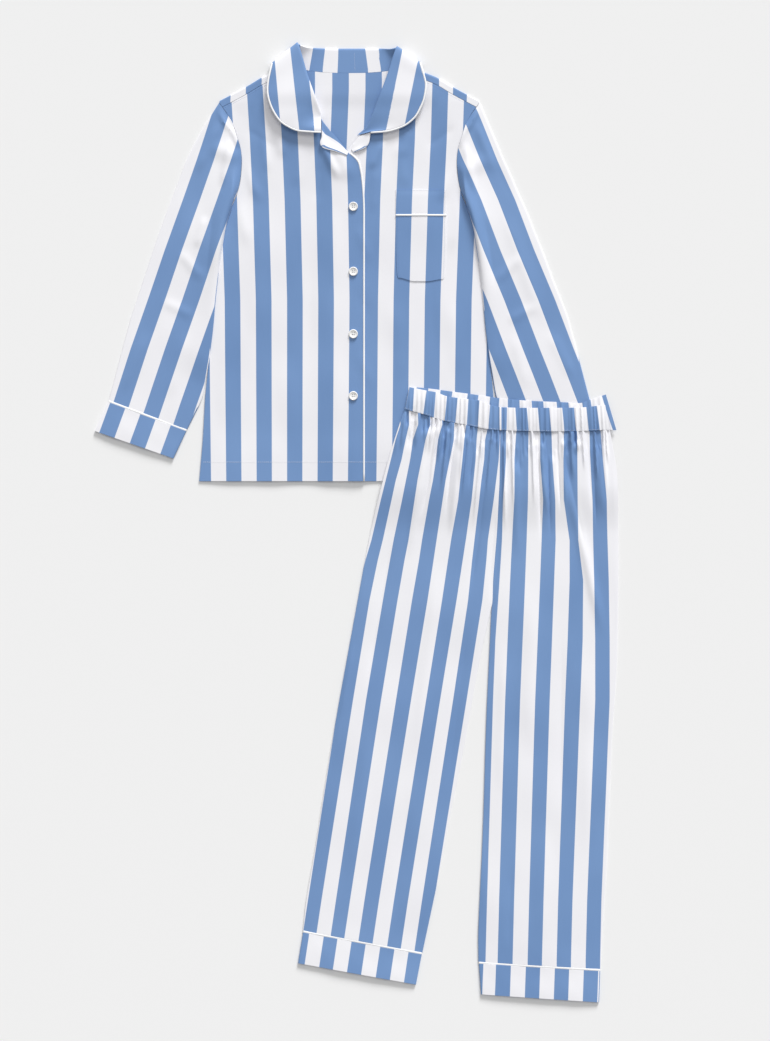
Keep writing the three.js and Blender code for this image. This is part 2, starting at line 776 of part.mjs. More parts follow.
function revere({ name, outer, roll }) {
  const height = name === "revere_right" ? rightFrontHeight : leftFrontHeight;
  const outline = patch({ left: edgeThrough(outer), right: edgeThrough(roll) });
  return piece(name, panel(outline, (x, y) => height(x, y) + LAYER, 4, 8));
}

// Piping beside the overlap's edge, from the hem up to the break
function placketPiping() {
  const rows = BODY_ROWS.filter((row) => row.rightY < PLACKET_PIPING_TOP);
  const middles = rows.map(({ rightX, rightY }) => {
    // Near the break the edge slants, so the piping's middle lies further out along X.
    const slant = smooth((rightY - PLACKET_PIPING_TOP + 50) / 40);
    const x = rightX + (SEAM + PIPE_WIDE / 2) * (1 + 0.35 * slant);
    return new THREE.Vector3(x, rightY, rightFrontHeight(x, rightY));
  });
  return piece("placket_piping", cord(middles), "piping");
}

function pocketPieces() {
  const { top, band, left, right, low, side, lean, corner } = POCKET;
  const corners = (x, mirror) => [
    [x + mirror * corner, low + 2],
    [x + mirror * (lean - 1), side],
    [x, band],
    [x, top],
  ];
  const bottom = (t) => {
    const x = THREE.MathUtils.lerp(left + corner, right - lean - corner, t);
    return new THREE.Vector2(x, low + 2 - 2 * Math.sin(Math.PI * t));
  };
  const outline = patch({
    near: bottom,
    left: edgeThrough(corners(left, 1)),
    right: edgeThrough(corners(right, -1).map(([x, y], i) => [i === 0 ? x - lean : x, y])),
  });
  const height = (x, y) => leftFrontHeight(x, y) + SIDE_LAYER;
  const piping = steps(6, (t) => THREE.MathUtils.lerp(left, right, t)).map(
    (x) => new THREE.Vector3(x, band, height(x, band) + HALF + SEAM + PIPE_HIGH / 2),
  );
  return [piece("pocket", panel(outline, height, 5, 9)), piece("pocket_piping", cord(piping), "piping")];
}

function button(height, index) {
  const disc = new THREE.Shape().absarc(0, 0, BUTTON_SIZE / 2, 0, 2 * Math.PI);
  for (let k = 0; k < 4; k++) {
    const turn = (Math.PI / 2) * (k + 0.5);
    const middle = new THREE.Vector2(Math.cos(turn), Math.sin(turn)).multiplyScalar(HOLE_RING);
    const rim = steps(5, (t) => 2 * Math.PI * t).slice(0, -1);
    const round = (a) => new THREE.Vector2(Math.cos(a), Math.sin(a)).multiplyScalar(HOLE_RADIUS);
    disc.holes.push(new THREE.Path(rim.map((a) => round(a).add(middle))));
  }
  const geometry = new THREE.ExtrudeGeometry(disc, {
    depth: BUTTON_THICK,
    bevelEnabled: false,
    curveSegments: 12,
  });
  const made = piece("button_" + (index + 1), geometry, "button");
  made.position.set(BUTTON_LINE, height, rightFrontHeight(BUTTON_LINE, height) + HALF + SEAM);
  return made;
}

function shirt() {
  const group = new THREE.Group();
  group.add(
    piece("shirt_back", shirtBack()),
    piece("shirt_front_right", frontPanel(-1, (row) => [row.rightX, row.rightY], rightFrontHeight)),
    piece("shirt_front_left", frontPanel(1, (row) => [row.leftX, row.leftY], leftFrontHeight)),
    ...sleevePieces("right", 1),
    ...sleevePieces("left", -1),
    ...collarPieces(),
    ...REVERES.map(revere),
    placketPiping(),
    ...pocketPieces(),
    ...BUTTON_HEIGHTS.map(button),
  );
  group.position.set(SHIRT_AT.x, SHIRT_AT.y, 0);
  return group;
}

// Trousers

// They lie over the shirt's corner and come down to the surface past its hem.
function trouserBase(y) {
  return OVER_SHIRT * smooth((y - SHIRT_HEM_IN_TROUSERS + 6 + DROP_LENGTH) / DROP_LENGTH);
}

// Uneven gathers: every second column stands up, highest at the waist seam.
function gather(column, fade) {
  if (column % 2 === 0) return 0;
  return PUCKER_RISES[((column - 1) / 2) % PUCKER_RISES.length] * fade;
}

const waistSeamAt = read(WAIST_SEAM, "x", "y");

function legOutline(outerRows, innerRows, waistFrom, waistTo) {
  const far = (t) => {
    const x = THREE.MathUtils.lerp(waistFrom, waistTo, t);
    return new THREE.Vector2(x, waistSeamAt(x) - SEAM);
  };
  const outer = edgeByHeight(outerRows);
  const inner = edgeByHeight(innerRows);
  const fitted = (edge, corner) => {
    const shift = corner.clone().sub(edge(1));
    return (t) => edge(t).addScaledVector(shift, smooth((t - 0.9) / 0.1));
  };
  return patch({ left: fitted(outer, far(0)), right: fitted(inner, far(1)), far });
}

function legPieces(side, outline, end, flip) {
  const columns = 26;
  const lowerRows = 13;
  const denseUp = (t) => 1 - (1 - t) ** 1.5;
  const back = panel(outline, (x, y) => trouserBase(y) + HALF, 6, lowerRows, denseUp);
  const front = panel(
    outline,
    (x, y, u, v) => {
      const fade = smooth(1 - (waistSeamAt(x) - y) / GATHER_FADE);
      const air = LEG_PUFF * Math.sin(Math.PI * u) ** 0.6 * smooth((1 - v) * 9);
      const column = Math.round(u * columns);
      const rise = GATHER_RISE * gather(flip ? columns - column : column, fade);
      return trouserBase(y) + HALF + SIDE_LAYER + air + rise;
    },
    columns,
    lowerRows,
    denseUp,
  );
  const cuff = cuffOutline(outline(0, 0), outline(1, 0), {
    outer: flip ? end.inner : end.outer,
    inner: flip ? end.outer : end.inner,
  });
  const cuffAir = LEG_PUFF * 0.7;
  return [
    piece("trouser_back_" + side, back),
    piece("trouser_front_" + side, front),
    piece("leg_piping_" + side, flatTube(cuff, pipingForm(cuff, cuffAir)), "piping"),
    piece("leg_cuff_" + side, flatTube(cuff, cuffForm(cuff, cuffAir))),
  ];
}

function waistband(name, topRows, rightEnd, height, columns) {
  const topLeft = topRows[0].x;
  const topRight = topRows.at(-1).x;
  const outline = patch({
    near: edgeAcross(WAIST_SEAM, WAIST_LEFT_END, rightEnd, SEAM),
    far: edgeAcross(topRows, topLeft, topRight),
    left: straight(
      new THREE.Vector2(WAIST_LEFT_END, waistSeamAt(WAIST_LEFT_END) + SEAM),
      new THREE.Vector2(topLeft, topRows[0].y),
    ),
    right: straight(
      new THREE.Vector2(rightEnd, waistSeamAt(rightEnd) + SEAM),
      new THREE.Vector2(topRight, topRows.at(-1).y),
    ),
  });
  const geometry = panel(
    outline,
    (x, y, u) => height + WAIST_PUCKER * gather(Math.round(u * columns), 1),
    columns,
    3,
  );
  return piece(name, geometry);
}

function trousers() {
  const group = new THREE.Group();
  const rightLeg = legOutline(RIGHT_LEG_OUTER, RIGHT_LEG_INNER, WAIST_LEFT_END, FRONT_SEAM);
  const leftLeg = legOutline(LEFT_LEG_INNER, LEFT_LEG_OUTER, FRONT_SEAM + SEAM, FRONT_WAIST_RIGHT_END);
  const backLevel = OVER_SHIRT + HALF;
  const frontLevel = backLevel + WAIST_PUCKER + SIDE_LAYER;
  group.add(
    ...legPieces("right", rightLeg, RIGHT_LEG_END, false),
    ...legPieces("left", leftLeg, LEFT_LEG_END, true),
    waistband("waistband_back", BACK_WAIST_TOP, BACK_WAIST_RIGHT_END, backLevel, 26),
    waistband("waistband_front", FRONT_WAIST_TOP, FRONT_WAIST_RIGHT_END, frontLevel, 52),
  );
  group.position.set(TROUSERS_AT.x, TROUSERS_AT.y, 0);
  return group;
}

// The set stands in its own frame with the middle of its box, at the surface, as the origin.
const laid = new THREE.Group();
laid.add(shirt(), trousers());
const box = new THREE.Box3().setFromObject(laid, true);
const middle = box.getCenter(new THREE.Vector3());
laid.position.set(-middle.x, -middle.y, -box.min.z);

const pyjamaSet = new THREE.Group();
pyjamaSet.add(laid);

export default pyjamaSet;
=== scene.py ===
# %% [markdown]
# # A striped pyjama set, laid flat
#
# The set is a long-sleeved shirt with a notched collar, and trousers with a gathered waist.
# Both are cut from one cotton with woven stripes, and trimmed with white piping.
# Everything here is cloth a millimetre thick that lies on a surface, so most of the work is in
# three things: the outline of each sewn piece, where its stripes run, and the low folds that
# catch the light. Each piece is a fine shell that stands for one solid of the plain model.

import bmesh
import bpy
import numpy as np
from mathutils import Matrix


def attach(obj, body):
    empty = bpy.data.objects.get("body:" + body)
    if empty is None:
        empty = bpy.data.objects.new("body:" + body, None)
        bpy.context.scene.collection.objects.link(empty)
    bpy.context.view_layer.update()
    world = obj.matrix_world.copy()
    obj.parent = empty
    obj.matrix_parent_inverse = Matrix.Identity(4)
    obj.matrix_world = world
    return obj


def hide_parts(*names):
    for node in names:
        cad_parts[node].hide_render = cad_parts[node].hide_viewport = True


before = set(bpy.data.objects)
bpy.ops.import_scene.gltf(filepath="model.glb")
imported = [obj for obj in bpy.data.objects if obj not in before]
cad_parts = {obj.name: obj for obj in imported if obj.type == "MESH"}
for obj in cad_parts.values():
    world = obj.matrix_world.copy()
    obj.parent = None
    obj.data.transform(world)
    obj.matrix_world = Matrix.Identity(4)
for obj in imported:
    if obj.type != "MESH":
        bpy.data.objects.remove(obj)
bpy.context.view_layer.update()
print("solids:", len(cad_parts))

# %% [markdown]
# ## Measures
#
# Outlines are written in millimetres of each garment. The shirt's zero is the middle of its hem
# and the trousers' zero is their crotch line at the lower leg's hem, as a maker would lay them.
# Stripes and folds are easier to read from the photograph, so those are written in its pixels
# and turned into millimetres with one scale.

# %% Scale and places
MM = 0.001
PIXEL = 1.634  # millimetres of the set that one pixel of the 770 x 1041 photograph shows
ZERO_PIXEL = (356.4, 523.6)
SHIRT_AT = (-11.5, 69.5)
TROUSERS_AT = (222.5, -781.5)
CLOTH = 0.9  # thickness of the cloth that shows
WALL = 1.2  # thickness of the plain model's cloth, whose heights these layers keep
LAYER = 1.8  # from the middle of one layer to the next where cloth overlaps
SIDE_LAYER = 1.55  # the same between a front and its back
SEAM = 0.35  # how far a net's edge keeps from the line of its seam


def to_pixels(x, y):
    return x / PIXEL + ZERO_PIXEL[0], ZERO_PIXEL[1] - y / PIXEL


# %% [markdown]
# ## Curves
#
# A short table of measured points becomes a smooth curve, which can be read at any place.
# A sewn panel then is a patch: a net of points spread between its four edges. Such a net knows
# which way is across the cloth and which way is along it, and the stripes need just that.

# %% Curves and patches
ENDS = np.array([0.0, 1.0])


def smooth(t):
    t = np.clip(t, 0, 1)
    return t * t * (3 - 2 * t)


def curve(points):
    """A smooth curve through (place, value) pairs."""
    at, value = np.array(points, float).T
    slope = np.empty_like(value)
    slope[1:-1] = (value[2:] - value[:-2]) / (at[2:] - at[:-2])
    slope[0] = (value[1] - value[0]) / (at[1] - at[0])
    slope[-1] = (value[-1] - value[-2]) / (at[-1] - at[-2])

    def read(place):
        i = np.clip(np.searchsorted(at, place, side="right") - 1, 0, len(at) - 2)
        span = at[i + 1] - at[i]
        t = np.clip((place - at[i]) / span, 0, 1)
        bend = smooth(t)
        ends = value[i] * (1 - bend) + value[i + 1] * bend
        return ends + span * (slope[i] * t * (1 - t) ** 2 + slope[i + 1] * t * t * (t - 1))

    return read


def refine(grid, factor):
    """More rows, on smooth curves through the given ones."""
    grid = np.asarray(grid, float)
    rows = len(grid)
    index = np.linspace(0, rows - 1, (rows - 1) * factor + 1)
    i = np.minimum(index.astype(int), rows - 2)
    t = (index - i).reshape(-1, *[1] * (grid.ndim - 1))
    slope = np.gradient(grid, axis=0)
    bend = smooth(t)
    between = grid[i] * (1 - bend) + grid[i + 1] * bend
    return between + slope[i] * t * (1 - t) ** 2 + slope[i + 1] * t * t * (t - 1)


def by_height(points):
    """An edge from the lowest to the highest of (y, x) points."""
    across = curve(points)
    low, high = points[0][0], points[-1][0]

    def edge(t):
        y = low + (high - low) * t
        return np.stack([across(y), y], -1)

    return edge


def through(points, factor=12):
    fine = refine(points, factor)
    place = np.linspace(0, 1, len(fine))
    return lambda t: np.stack([np.interp(t, place, fine[:, k]) for k in (0, 1)], -1)


def straight(start, end):
    start, end = np.array(start, float), np.array(end, float)
    return lambda t: start + (end - start) * np.asarray(t)[..., None]


def patch(left, right, near=None, far=None):
    """Points between four edges: left and right run along the cloth, near and far across."""

    def place(u, v):
        corner_l, corner_r = left(ENDS), right(ENDS)
        low = near(u) if near else straight(corner_l[0], corner_r[0])(u)
        high = far(u) if far else straight(corner_l[1], corner_r[1])(u)
        uu, vv = u[None, :, None], v[:, None, None]
        sides = left(v)[:, None] * (1 - uu) + right(v)[:, None] * uu
        ends_part = low[None] * (1 - vv) + high[None] * vv
        near_corners = (corner_l[0] * (1 - uu) + corner_r[0] * uu) * (1 - vv)
        far_corners = (corner_l[1] * (1 - uu) + corner_r[1] * uu) * vv
        return sides + ends_part - near_corners - far_corners

    return place


# %% [markdown]
# ## Stripes
#
# The stripes are woven, so they follow the cloth, and where cloth is gathered or pulled they
# crowd and lean. A painted-on pattern in space would miss that. Instead each piece gets a UV map
# named "weave": its first number counts stripes across the cloth, and its second is the length
# along it in metres. A blue stripe fills the first half of each count.
# The measured edges of the stripes, row by row, say how the count runs over a piece.

# %% Counting stripes
def bands(rows):
    """Counts stripes from rows of (height, edges): blue's left edge first, in pixels."""
    rows = sorted(rows)
    heights = np.array([height for height, _ in rows], float)
    table = np.array([edges for _, edges in rows], float)

    def count(x, y):
        px, py = to_pixels(np.asarray(x, float), np.asarray(y, float))
        edges = [np.interp(py, heights, column) for column in table.T]
        total = np.zeros_like(px)
        for low, high in zip(edges, edges[1:]):
            total += np.clip((px - low) / (high - low), 0, 1) / 2
        before = np.minimum(px - edges[0], 0) / (edges[1] - edges[0]) / 2
        after = np.maximum(px - edges[-1], 0) / (edges[-1] - edges[-2]) / 2
        return total + before + after

    return count


def even_bands(rows, number):
    """The same from rows of (height, first blue edge, pitch)."""
    return bands([(h, [start + pitch * k / 2 for k in range(number)]) for h, start, pitch in rows])


# %% [markdown]
# ## Folds
#
# The cloth lies flat, so its folds are low: a soft ridge or a sharper trough a few millimetres
# wide that fades out at both ends. A simulation would place them anywhere. Here each one is given
# as a line with a width and a rise, where the photograph shows light and shade.

# %% Placing folds
def folds(marks):
    """Sums ridges and troughs of (x, y, x2, y2, width) in pixels and a rise in millimetres."""

    def rise(x, y):
        px, py = to_pixels(x, y)
        total = np.zeros_like(px)
        for x1, y1, x2, y2, width, height in marks:
            run = np.array([x2 - x1, y2 - y1], float)
            length = np.hypot(*run)
            along = ((px - x1) * run[0] + (py - y1) * run[1]) / length**2
            aside = ((px - x1) * run[1] - (py - y1) * run[0]) / length
            fade = smooth(along / 0.3) * smooth((1 - along) / 0.3)
            sharpness = 2 if height > 0 else 1.2
            total += height * fade * np.exp(-(np.abs(aside / width) ** sharpness))
        return total

    return rise


def slack(x, y, rise=0.25, length=90):
    """The slight unevenness of cloth that lies loose."""
    a, b = x / length, y / length
    waves = np.sin(2.1 * a + 1.3 * b) + np.sin(3.7 * a - 0.9 * b + 1)
    waves += np.sin(1.1 * a + 2.9 * b + 4) + np.sin(0.5 * a - 4.3 * b + 2) + 0.6 * np.sin(5.9 * a + 5.3 * b)
    return rise * waves / 4


# %% [markdown]
# ## Shells
#
# A net of middle points becomes cloth by moving a copy half a thickness to each side and closing
# the border with a rounded rim. Solidify would do that too, but here the stripe count has to go
# with every corner, also where a tube closes on itself, so the shell is built directly.

# %% Building a shell
RIM_ROUND = 0.3  # how far a rim bulges, as a share of the cloth's thickness
CREASE_ANGLE = 42  # edges sharper than this many degrees stay crisp


def unit(v):
    return v / np.maximum(np.linalg.norm(v, axis=-1, keepdims=True), 1e-9)


def net_normals(net, closed):
    lengthways = np.gradient(net, axis=0)
    if closed:
        sideways = np.roll(net, -1, axis=1) - np.roll(net, 1, axis=1)
    else:
        sideways = np.gradient(net, axis=1)
    return unit(np.cross(sideways, lengthways))


def border(rows, columns, closed):
    """The border's loops as lists of (row, column), with the cloth on their left."""
    if closed:
        ring = list(range(columns + 1))
        return [[(0, i) for i in ring], [(rows - 1, i) for i in reversed(ring)]]
    loop = [(0, i) for i in range(columns)]
    loop += [(j, columns - 1) for j in range(1, rows)]
    loop += [(rows - 1, i) for i in reversed(range(columns - 1))]
    loop += [(j, 0) for j in reversed(range(rows - 1))]
    return [loop]


def rim_direction(net, j, i, closed):
    rows, columns = net.shape[:2]
    out = np.zeros(3)
    if j in (0, rows - 1):
        out += unit(net[j, i] - net[1 if j == 0 else rows - 2, i])
    if not closed and i in (0, columns - 1):
        out += unit(net[j, i] - net[j, 1 if i == 0 else columns - 2])
    return unit(out)


def shell(name, net, weave, wall=CLOTH, closed=False):
    """A closed mesh round a net of points in millimetres, with its stripe count as a UV map."""
    rows, columns = net.shape[:2]
    stride = weave.shape[1]
    normals = net_normals(net, closed) * wall / 2
    points = [(net + normals).reshape(-1, 3), (net - normals).reshape(-1, 3)]
    size = rows * columns
    j, i = np.meshgrid(np.arange(rows - 1), np.arange(columns if closed else columns - 1), indexing="ij")
    j, i = j.ravel(), i.ravel()
    corners = [(j, i), (j, i + 1), (j + 1, i + 1), (j + 1, i)]
    place = np.stack([a * columns + b % columns for a, b in corners], 1)
    thread = np.stack([a * stride + b for a, b in corners], 1)
    faces = [place, place[:, ::-1] + size]
    threads = [thread, thread[:, ::-1]]
    for loop in border(rows, columns, closed):
        first = sum(len(p) for p in points)
        steps = loop[:-1]
        rim = [
            net[a, b % columns] + rim_direction(net, a, b % columns, closed) * wall * RIM_ROUND
            for a, b in steps
        ]
        points.append(np.array(rim))
        here = np.array([a * columns + b % columns for a, b in loop])
        uv = np.array([a * stride + b for a, b in loop])
        edge = first + np.arange(len(loop)) % len(steps)
        now, then = slice(None, -1), slice(1, None)
        faces.append(np.stack([here[then], here[now], edge[now], edge[then]], 1))
        faces.append(np.stack([edge[then], edge[now], here[now] + size, here[then] + size], 1))
        threads += [np.stack([uv[then], uv[now], uv[now], uv[then]], 1)] * 2
    points = np.concatenate(points)
    faces, threads = np.concatenate(faces), np.concatenate(threads)
    a, b, c, d = (points[faces[:, k]] for k in range(4))
    volume = (np.einsum("ij,ij->i", a, np.cross(b, c)) + np.einsum("ij,ij->i", a, np.cross(c, d))).sum()
    if volume < 0:
        faces, threads = faces[:, ::-1], threads[:, ::-1]
    mesh = bpy.data.meshes.new(name)
    mesh.from_pydata((points * MM).tolist(), [], faces.tolist())
    layer = mesh.uv_layers.new(name="weave")
    layer.data.foreach_set("uv", weave.reshape(-1, 2)[threads.ravel()].astype(np.float32).ravel())
    mesh.polygons.foreach_set("use_smooth", np.ones(len(faces), bool))
    mesh.set_sharp_from_angle(angle=np.radians(CREASE_ANGLE))
    piece = bpy.data.objects.new(name, mesh)
    bpy.context.scene.collection.objects.link(piece)
    return piece


def lengths(net, closed):
    """Width across, length along and area of a net, in metres."""
    ring = np.concatenate([net, net[:, :1]], 1) if closed else net
    width = np.linalg.norm(np.diff(ring, axis=1), axis=2).sum(1).max()
    length = np.linalg.norm(np.diff(ring, axis=0), axis=2).sum(0).max()
    one = np.cross(ring[1:, :-1] - ring[:-1, :-1], ring[:-1, 1:] - ring[:-1, :-1])
    two = np.cross(ring[1:, :-1] - ring[1:, 1:], ring[:-1, 1:] - ring[1:, 1:])
    area = (np.linalg.norm(one, axis=2).sum() + np.linalg.norm(two, axis=2).sum()) / 2
    return width * MM, length * MM, area * MM * MM


def cloth(name, net, count, at, node, closed=False, weave=None):
    """A piece of striped cloth in place of one node; the size it is cut to is printed."""
    net = net + np.array([at[0], at[1], 0])
    if weave is None:
        weave = count(net[..., 0], net[..., 1])
    middle = net[:, net.shape[1] // 2]
    along = np.concatenate([[0], np.linalg.norm(np.diff(middle, axis=0), axis=1).cumsum()]) * MM
    weave = np.stack([weave, np.broadcast_to(along[:, None], weave.shape)], -1)
    piece = shell(name, net, weave, closed=closed)
    piece.data.materials.append(STRIPED)
    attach(piece, "root")
    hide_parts(node)
    width, length, area = lengths(net, closed)
    min(area, width * length)
    print(f"{name}: cut {width * 1000:.0f} x {length * 1000:.0f} mm, {len(piece.data.polygons)} faces")
    return net


# %% [markdown]
# ## Finishes
#
# Woven cotton up close is a lattice of threads: each thread is a tiny ridge, and each varies a
# little in tone. One node group makes that lattice from the weave map, for the striped cloth, the
# piping and the sewing thread alike. It puts out a shade and a height. The stripes are drawn in
# the cloth's own material, with an edge that wavers by a thread or two, as yarn-dyed edges do.

# %% The weave as a node group
def node(tree, kind, **values):
    made = tree.nodes.new(kind)
    for key, value in values.items():
        setattr(made, key, value)
    return made


def wire(tree, source, target):
    tree.links.new(source, target)


def math(tree, operation, a, b=None, clamp=False):
    made = node(tree, "ShaderNodeMath", operation=operation, use_clamp=clamp)
    for socket, value in zip(made.inputs, (a, b)):
        if isinstance(value, bpy.types.NodeSocket):
            wire(tree, value, socket)
        elif value is not None:
            socket.default_value = value
    return made.outputs[0]


def group_tree(name, inputs, outputs):
    tree = bpy.data.node_groups.new(name, "ShaderNodeTree")
    for label, kind, value in inputs:
        socket = tree.interface.new_socket(name=label, in_out="INPUT", socket_type=kind)
        if value is not None:
            socket.default_value = value
    for label, kind in outputs:
        tree.interface.new_socket(name=label, in_out="OUTPUT", socket_type=kind)
    return tree, node(tree, "NodeGroupInput"), node(tree, "NodeGroupOutput")


def weave_group():
    tree, given, out = group_tree(
        "Woven threads",
        [
            ("Place", "NodeSocketVector", None),
            ("Threads across", "NodeSocketFloat", 2000.0),
            ("Threads along", "NodeSocketFloat", 2000.0),
            ("Slub", "NodeSocketFloat", 0.5),
        ],
        [("Shade", "NodeSocketFloat"), ("Height", "NodeSocketFloat")],
    )
    parts = node(tree, "ShaderNodeSeparateXYZ")
    wire(tree, given.outputs["Place"], parts.inputs[0])
    across = math(tree, "MULTIPLY", parts.outputs["X"], given.outputs["Threads across"])
    along = math(tree, "MULTIPLY", parts.outputs["Y"], given.outputs["Threads along"])
    warp = math(tree, "ABSOLUTE", math(tree, "SINE", math(tree, "MULTIPLY", across, np.pi)))
    weft = math(tree, "ABSOLUTE", math(tree, "SINE", math(tree, "MULTIPLY", along, np.pi)))
    cells = math(tree, "ADD", math(tree, "FLOOR", across), math(tree, "FLOOR", along))
    over = math(tree, "PINGPONG", cells, 1.0)
    under = math(tree, "SUBTRACT", 1.0, over)
    height = math(tree, "ADD", math(tree, "MULTIPLY", warp, over), math(tree, "MULTIPLY", weft, under))
    mixed = node(tree, "ShaderNodeCombineXYZ")
    wire(tree, math(tree, "MULTIPLY", across, 0.5), mixed.inputs["X"])
    wire(tree, math(tree, "MULTIPLY", along, 0.02), mixed.inputs["Y"])
    noise = node(tree, "ShaderNodeTexNoise")
    noise.inputs["Scale"].default_value = 1.0
    noise.inputs["Detail"].default_value = 2.0
    wire(tree, mixed.outputs[0], noise.inputs["Vector"])
    slub = math(tree, "MULTIPLY", math(tree, "SUBTRACT", noise.outputs[0], 0.5), given.outputs["Slub"])
    wire(tree, math(tree, "ADD", slub, 0.5, clamp=True), out.inputs["Shade"])
    wire(tree, height, out.inputs["Height"])
    return tree


WOVEN = weave_group()
print("weave group sockets:", [item.name for item in WOVEN.interface.items_tree])

# %% [markdown]
# The striped cotton is yarn-dyed poplin: matt, with a faint sheen where it turns away from the
# eye. The blue is light and a little grey, the white is nearly the white of the surface.
# The threads' shade and one slow noise shift the tone by a hair, so that wide stripes aren't one
# flat colour. The slow noise is partly random tone and partly painted shade: its broad light and
# dark patches stand in for the light and shade on the cloth's low slopes.

# %% Striped cotton, piping, thread and button
BLUE = (0.202, 0.337, 0.598, 1)
BLUE_DEEP = (0.139, 0.252, 0.484, 1)
WHITE = (0.880, 0.880, 0.905, 1)
WHITE_SOFT = (0.828, 0.822, 0.862, 1)
RESIN_CLOUDY, RESIN_CLEAR = (0.78, 0.77, 0.75, 1), (0.92, 0.915, 0.90, 1)
STRIPE_SHARE = 0.5
STRIPE_SOFT = 0.006  # half the width of a stripe's soft edge, in counts
STRIPE_WAVER = 0.008  # how far that edge wavers, in counts
WAVER_SCALE = (30.0, 900.0, 0.0)
PITCH = 0.051  # metres across one blue and one white stripe
COTTON_THREADS = 2400  # threads in a metre of the cotton
# The slow share is partly random tone and partly painted shade of the cloth's low slopes.
FINE_TONE, SLOW_TONE_AND_SHADE = 0.4, 0.6  # shares of the threads and of the slow noise in the tone


def material(name, roughness, sheen=0.0):
    made = bpy.data.materials.new(name)
    made.use_nodes = True
    shader = made.node_tree.nodes["Principled BSDF"]
    shader.inputs["Roughness"].default_value = roughness
    shader.inputs["Sheen Weight"].default_value = sheen
    shader.inputs["Sheen Roughness"].default_value = 0.4
    shader.inputs["Specular IOR Level"].default_value = 0.3
    return made, made.node_tree, shader


def blend_colours(tree, share, first, second):
    mix = node(tree, "ShaderNodeMix", data_type="RGBA")
    wire(tree, share, mix.inputs["Factor"])
    for socket, value in ((mix.inputs[6], first), (mix.inputs[7], second)):
        if isinstance(value, bpy.types.NodeSocket):
            wire(tree, value, socket)
        else:
            socket.default_value = value
    return mix.outputs[2]


def threads_of(tree, place, across, along, slub):
    woven = node(tree, "ShaderNodeGroup", node_tree=WOVEN)
    wire(tree, place, woven.inputs["Place"])
    woven.inputs["Threads across"].default_value = across
    woven.inputs["Threads along"].default_value = along
    woven.inputs["Slub"].default_value = slub
    return woven


def bump(tree, shader, height, strength, distance):
    made = node(tree, "ShaderNodeBump")
    made.inputs["Strength"].default_value = strength
    made.inputs["Distance"].default_value = distance
    wire(tree, height, made.inputs["Height"])
    wire(tree, made.outputs[0], shader.inputs["Normal"])


def noise_of(tree, vector, scale, detail=2.0):
    made = node(tree, "ShaderNodeTexNoise")
    made.inputs["Scale"].default_value = scale
    made.inputs["Detail"].default_value = detail
    wire(tree, vector, made.inputs["Vector"])
    return made.outputs[0]


def striped_cotton():
    made, tree, shader = material("striped_cotton", 0.82, sheen=0.12)
    weave = node(tree, "ShaderNodeUVMap", uv_map="weave").outputs[0]
    cloth_place = node(tree, "ShaderNodeTexCoord").outputs["Object"]
    parts = node(tree, "ShaderNodeSeparateXYZ")
    wire(tree, weave, parts.inputs[0])
    stretch = node(tree, "ShaderNodeVectorMath", operation="MULTIPLY")
    wire(tree, weave, stretch.inputs[0])
    stretch.inputs[1].default_value = WAVER_SCALE
    waver = math(tree, "SUBTRACT", noise_of(tree, stretch.outputs[0], 1.0), 0.5)
    count = math(tree, "ADD", parts.outputs["X"], math(tree, "MULTIPLY", waver, STRIPE_WAVER))
    part = math(tree, "FRACT", count)
    inside = math(tree, "ABSOLUTE", math(tree, "SUBTRACT", part, STRIPE_SHARE / 2))
    wrapped = math(tree, "MINIMUM", inside, math(tree, "SUBTRACT", 1.0, inside))
    edge = node(tree, "ShaderNodeMapRange", interpolation_type="SMOOTHSTEP")
    edge.inputs["From Min"].default_value = STRIPE_SHARE / 2 + STRIPE_SOFT
    edge.inputs["From Max"].default_value = STRIPE_SHARE / 2 - STRIPE_SOFT
    wire(tree, wrapped, edge.inputs["Value"])
    woven = threads_of(tree, weave, PITCH * COTTON_THREADS, COTTON_THREADS, 0.6)
    # Slow noise: partly random tone, partly painted shade standing in for the light on low slopes.
    slow = math(tree, "MULTIPLY", math(tree, "SUBTRACT", noise_of(tree, cloth_place, 5.0), 0.36), 2.2)
    fine_part = math(tree, "MULTIPLY", woven.outputs["Shade"], FINE_TONE)
    slow_tone_and_shade_part = math(tree, "MULTIPLY", slow, SLOW_TONE_AND_SHADE)
    tone = math(tree, "ADD", fine_part, slow_tone_and_shade_part, clamp=True)
    blue = blend_colours(tree, tone, BLUE_DEEP, BLUE)
    white = blend_colours(tree, tone, WHITE_SOFT, WHITE)
    wire(tree, blend_colours(tree, edge.outputs[0], white, blue), shader.inputs["Base Color"])
    rough = math(tree, "ADD", 0.44, math(tree, "MULTIPLY", woven.outputs["Shade"], 0.16))
    wire(tree, rough, shader.inputs["Roughness"])
    bump(tree, shader, woven.outputs["Height"], 0.2, 0.00008)
    return made


def plain_thread(name, light, dark, across, along, roughness):
    made, tree, shader = material(name, roughness, sheen=0.1)
    weave = node(tree, "ShaderNodeUVMap", uv_map="weave").outputs[0]
    woven = threads_of(tree, weave, across, along, 0.5)
    wire(tree, blend_colours(tree, woven.outputs["Shade"], dark, light), shader.inputs["Base Color"])
    bump(tree, shader, woven.outputs["Height"], 0.3, 0.0001)
    return made


def button_finish():
    made, tree, shader = material("button_resin", 0.28)
    place = node(tree, "ShaderNodeTexCoord").outputs["Object"]
    cloudy = noise_of(tree, place, 240.0, 3.0)
    wire(tree, blend_colours(tree, cloudy, RESIN_CLOUDY, RESIN_CLEAR), shader.inputs["Base Color"])
    rough = math(tree, "ADD", 0.22, math(tree, "MULTIPLY", cloudy, 0.14))
    wire(tree, rough, shader.inputs["Roughness"])
    shader.inputs["Coat Weight"].default_value = 0.3
    return made


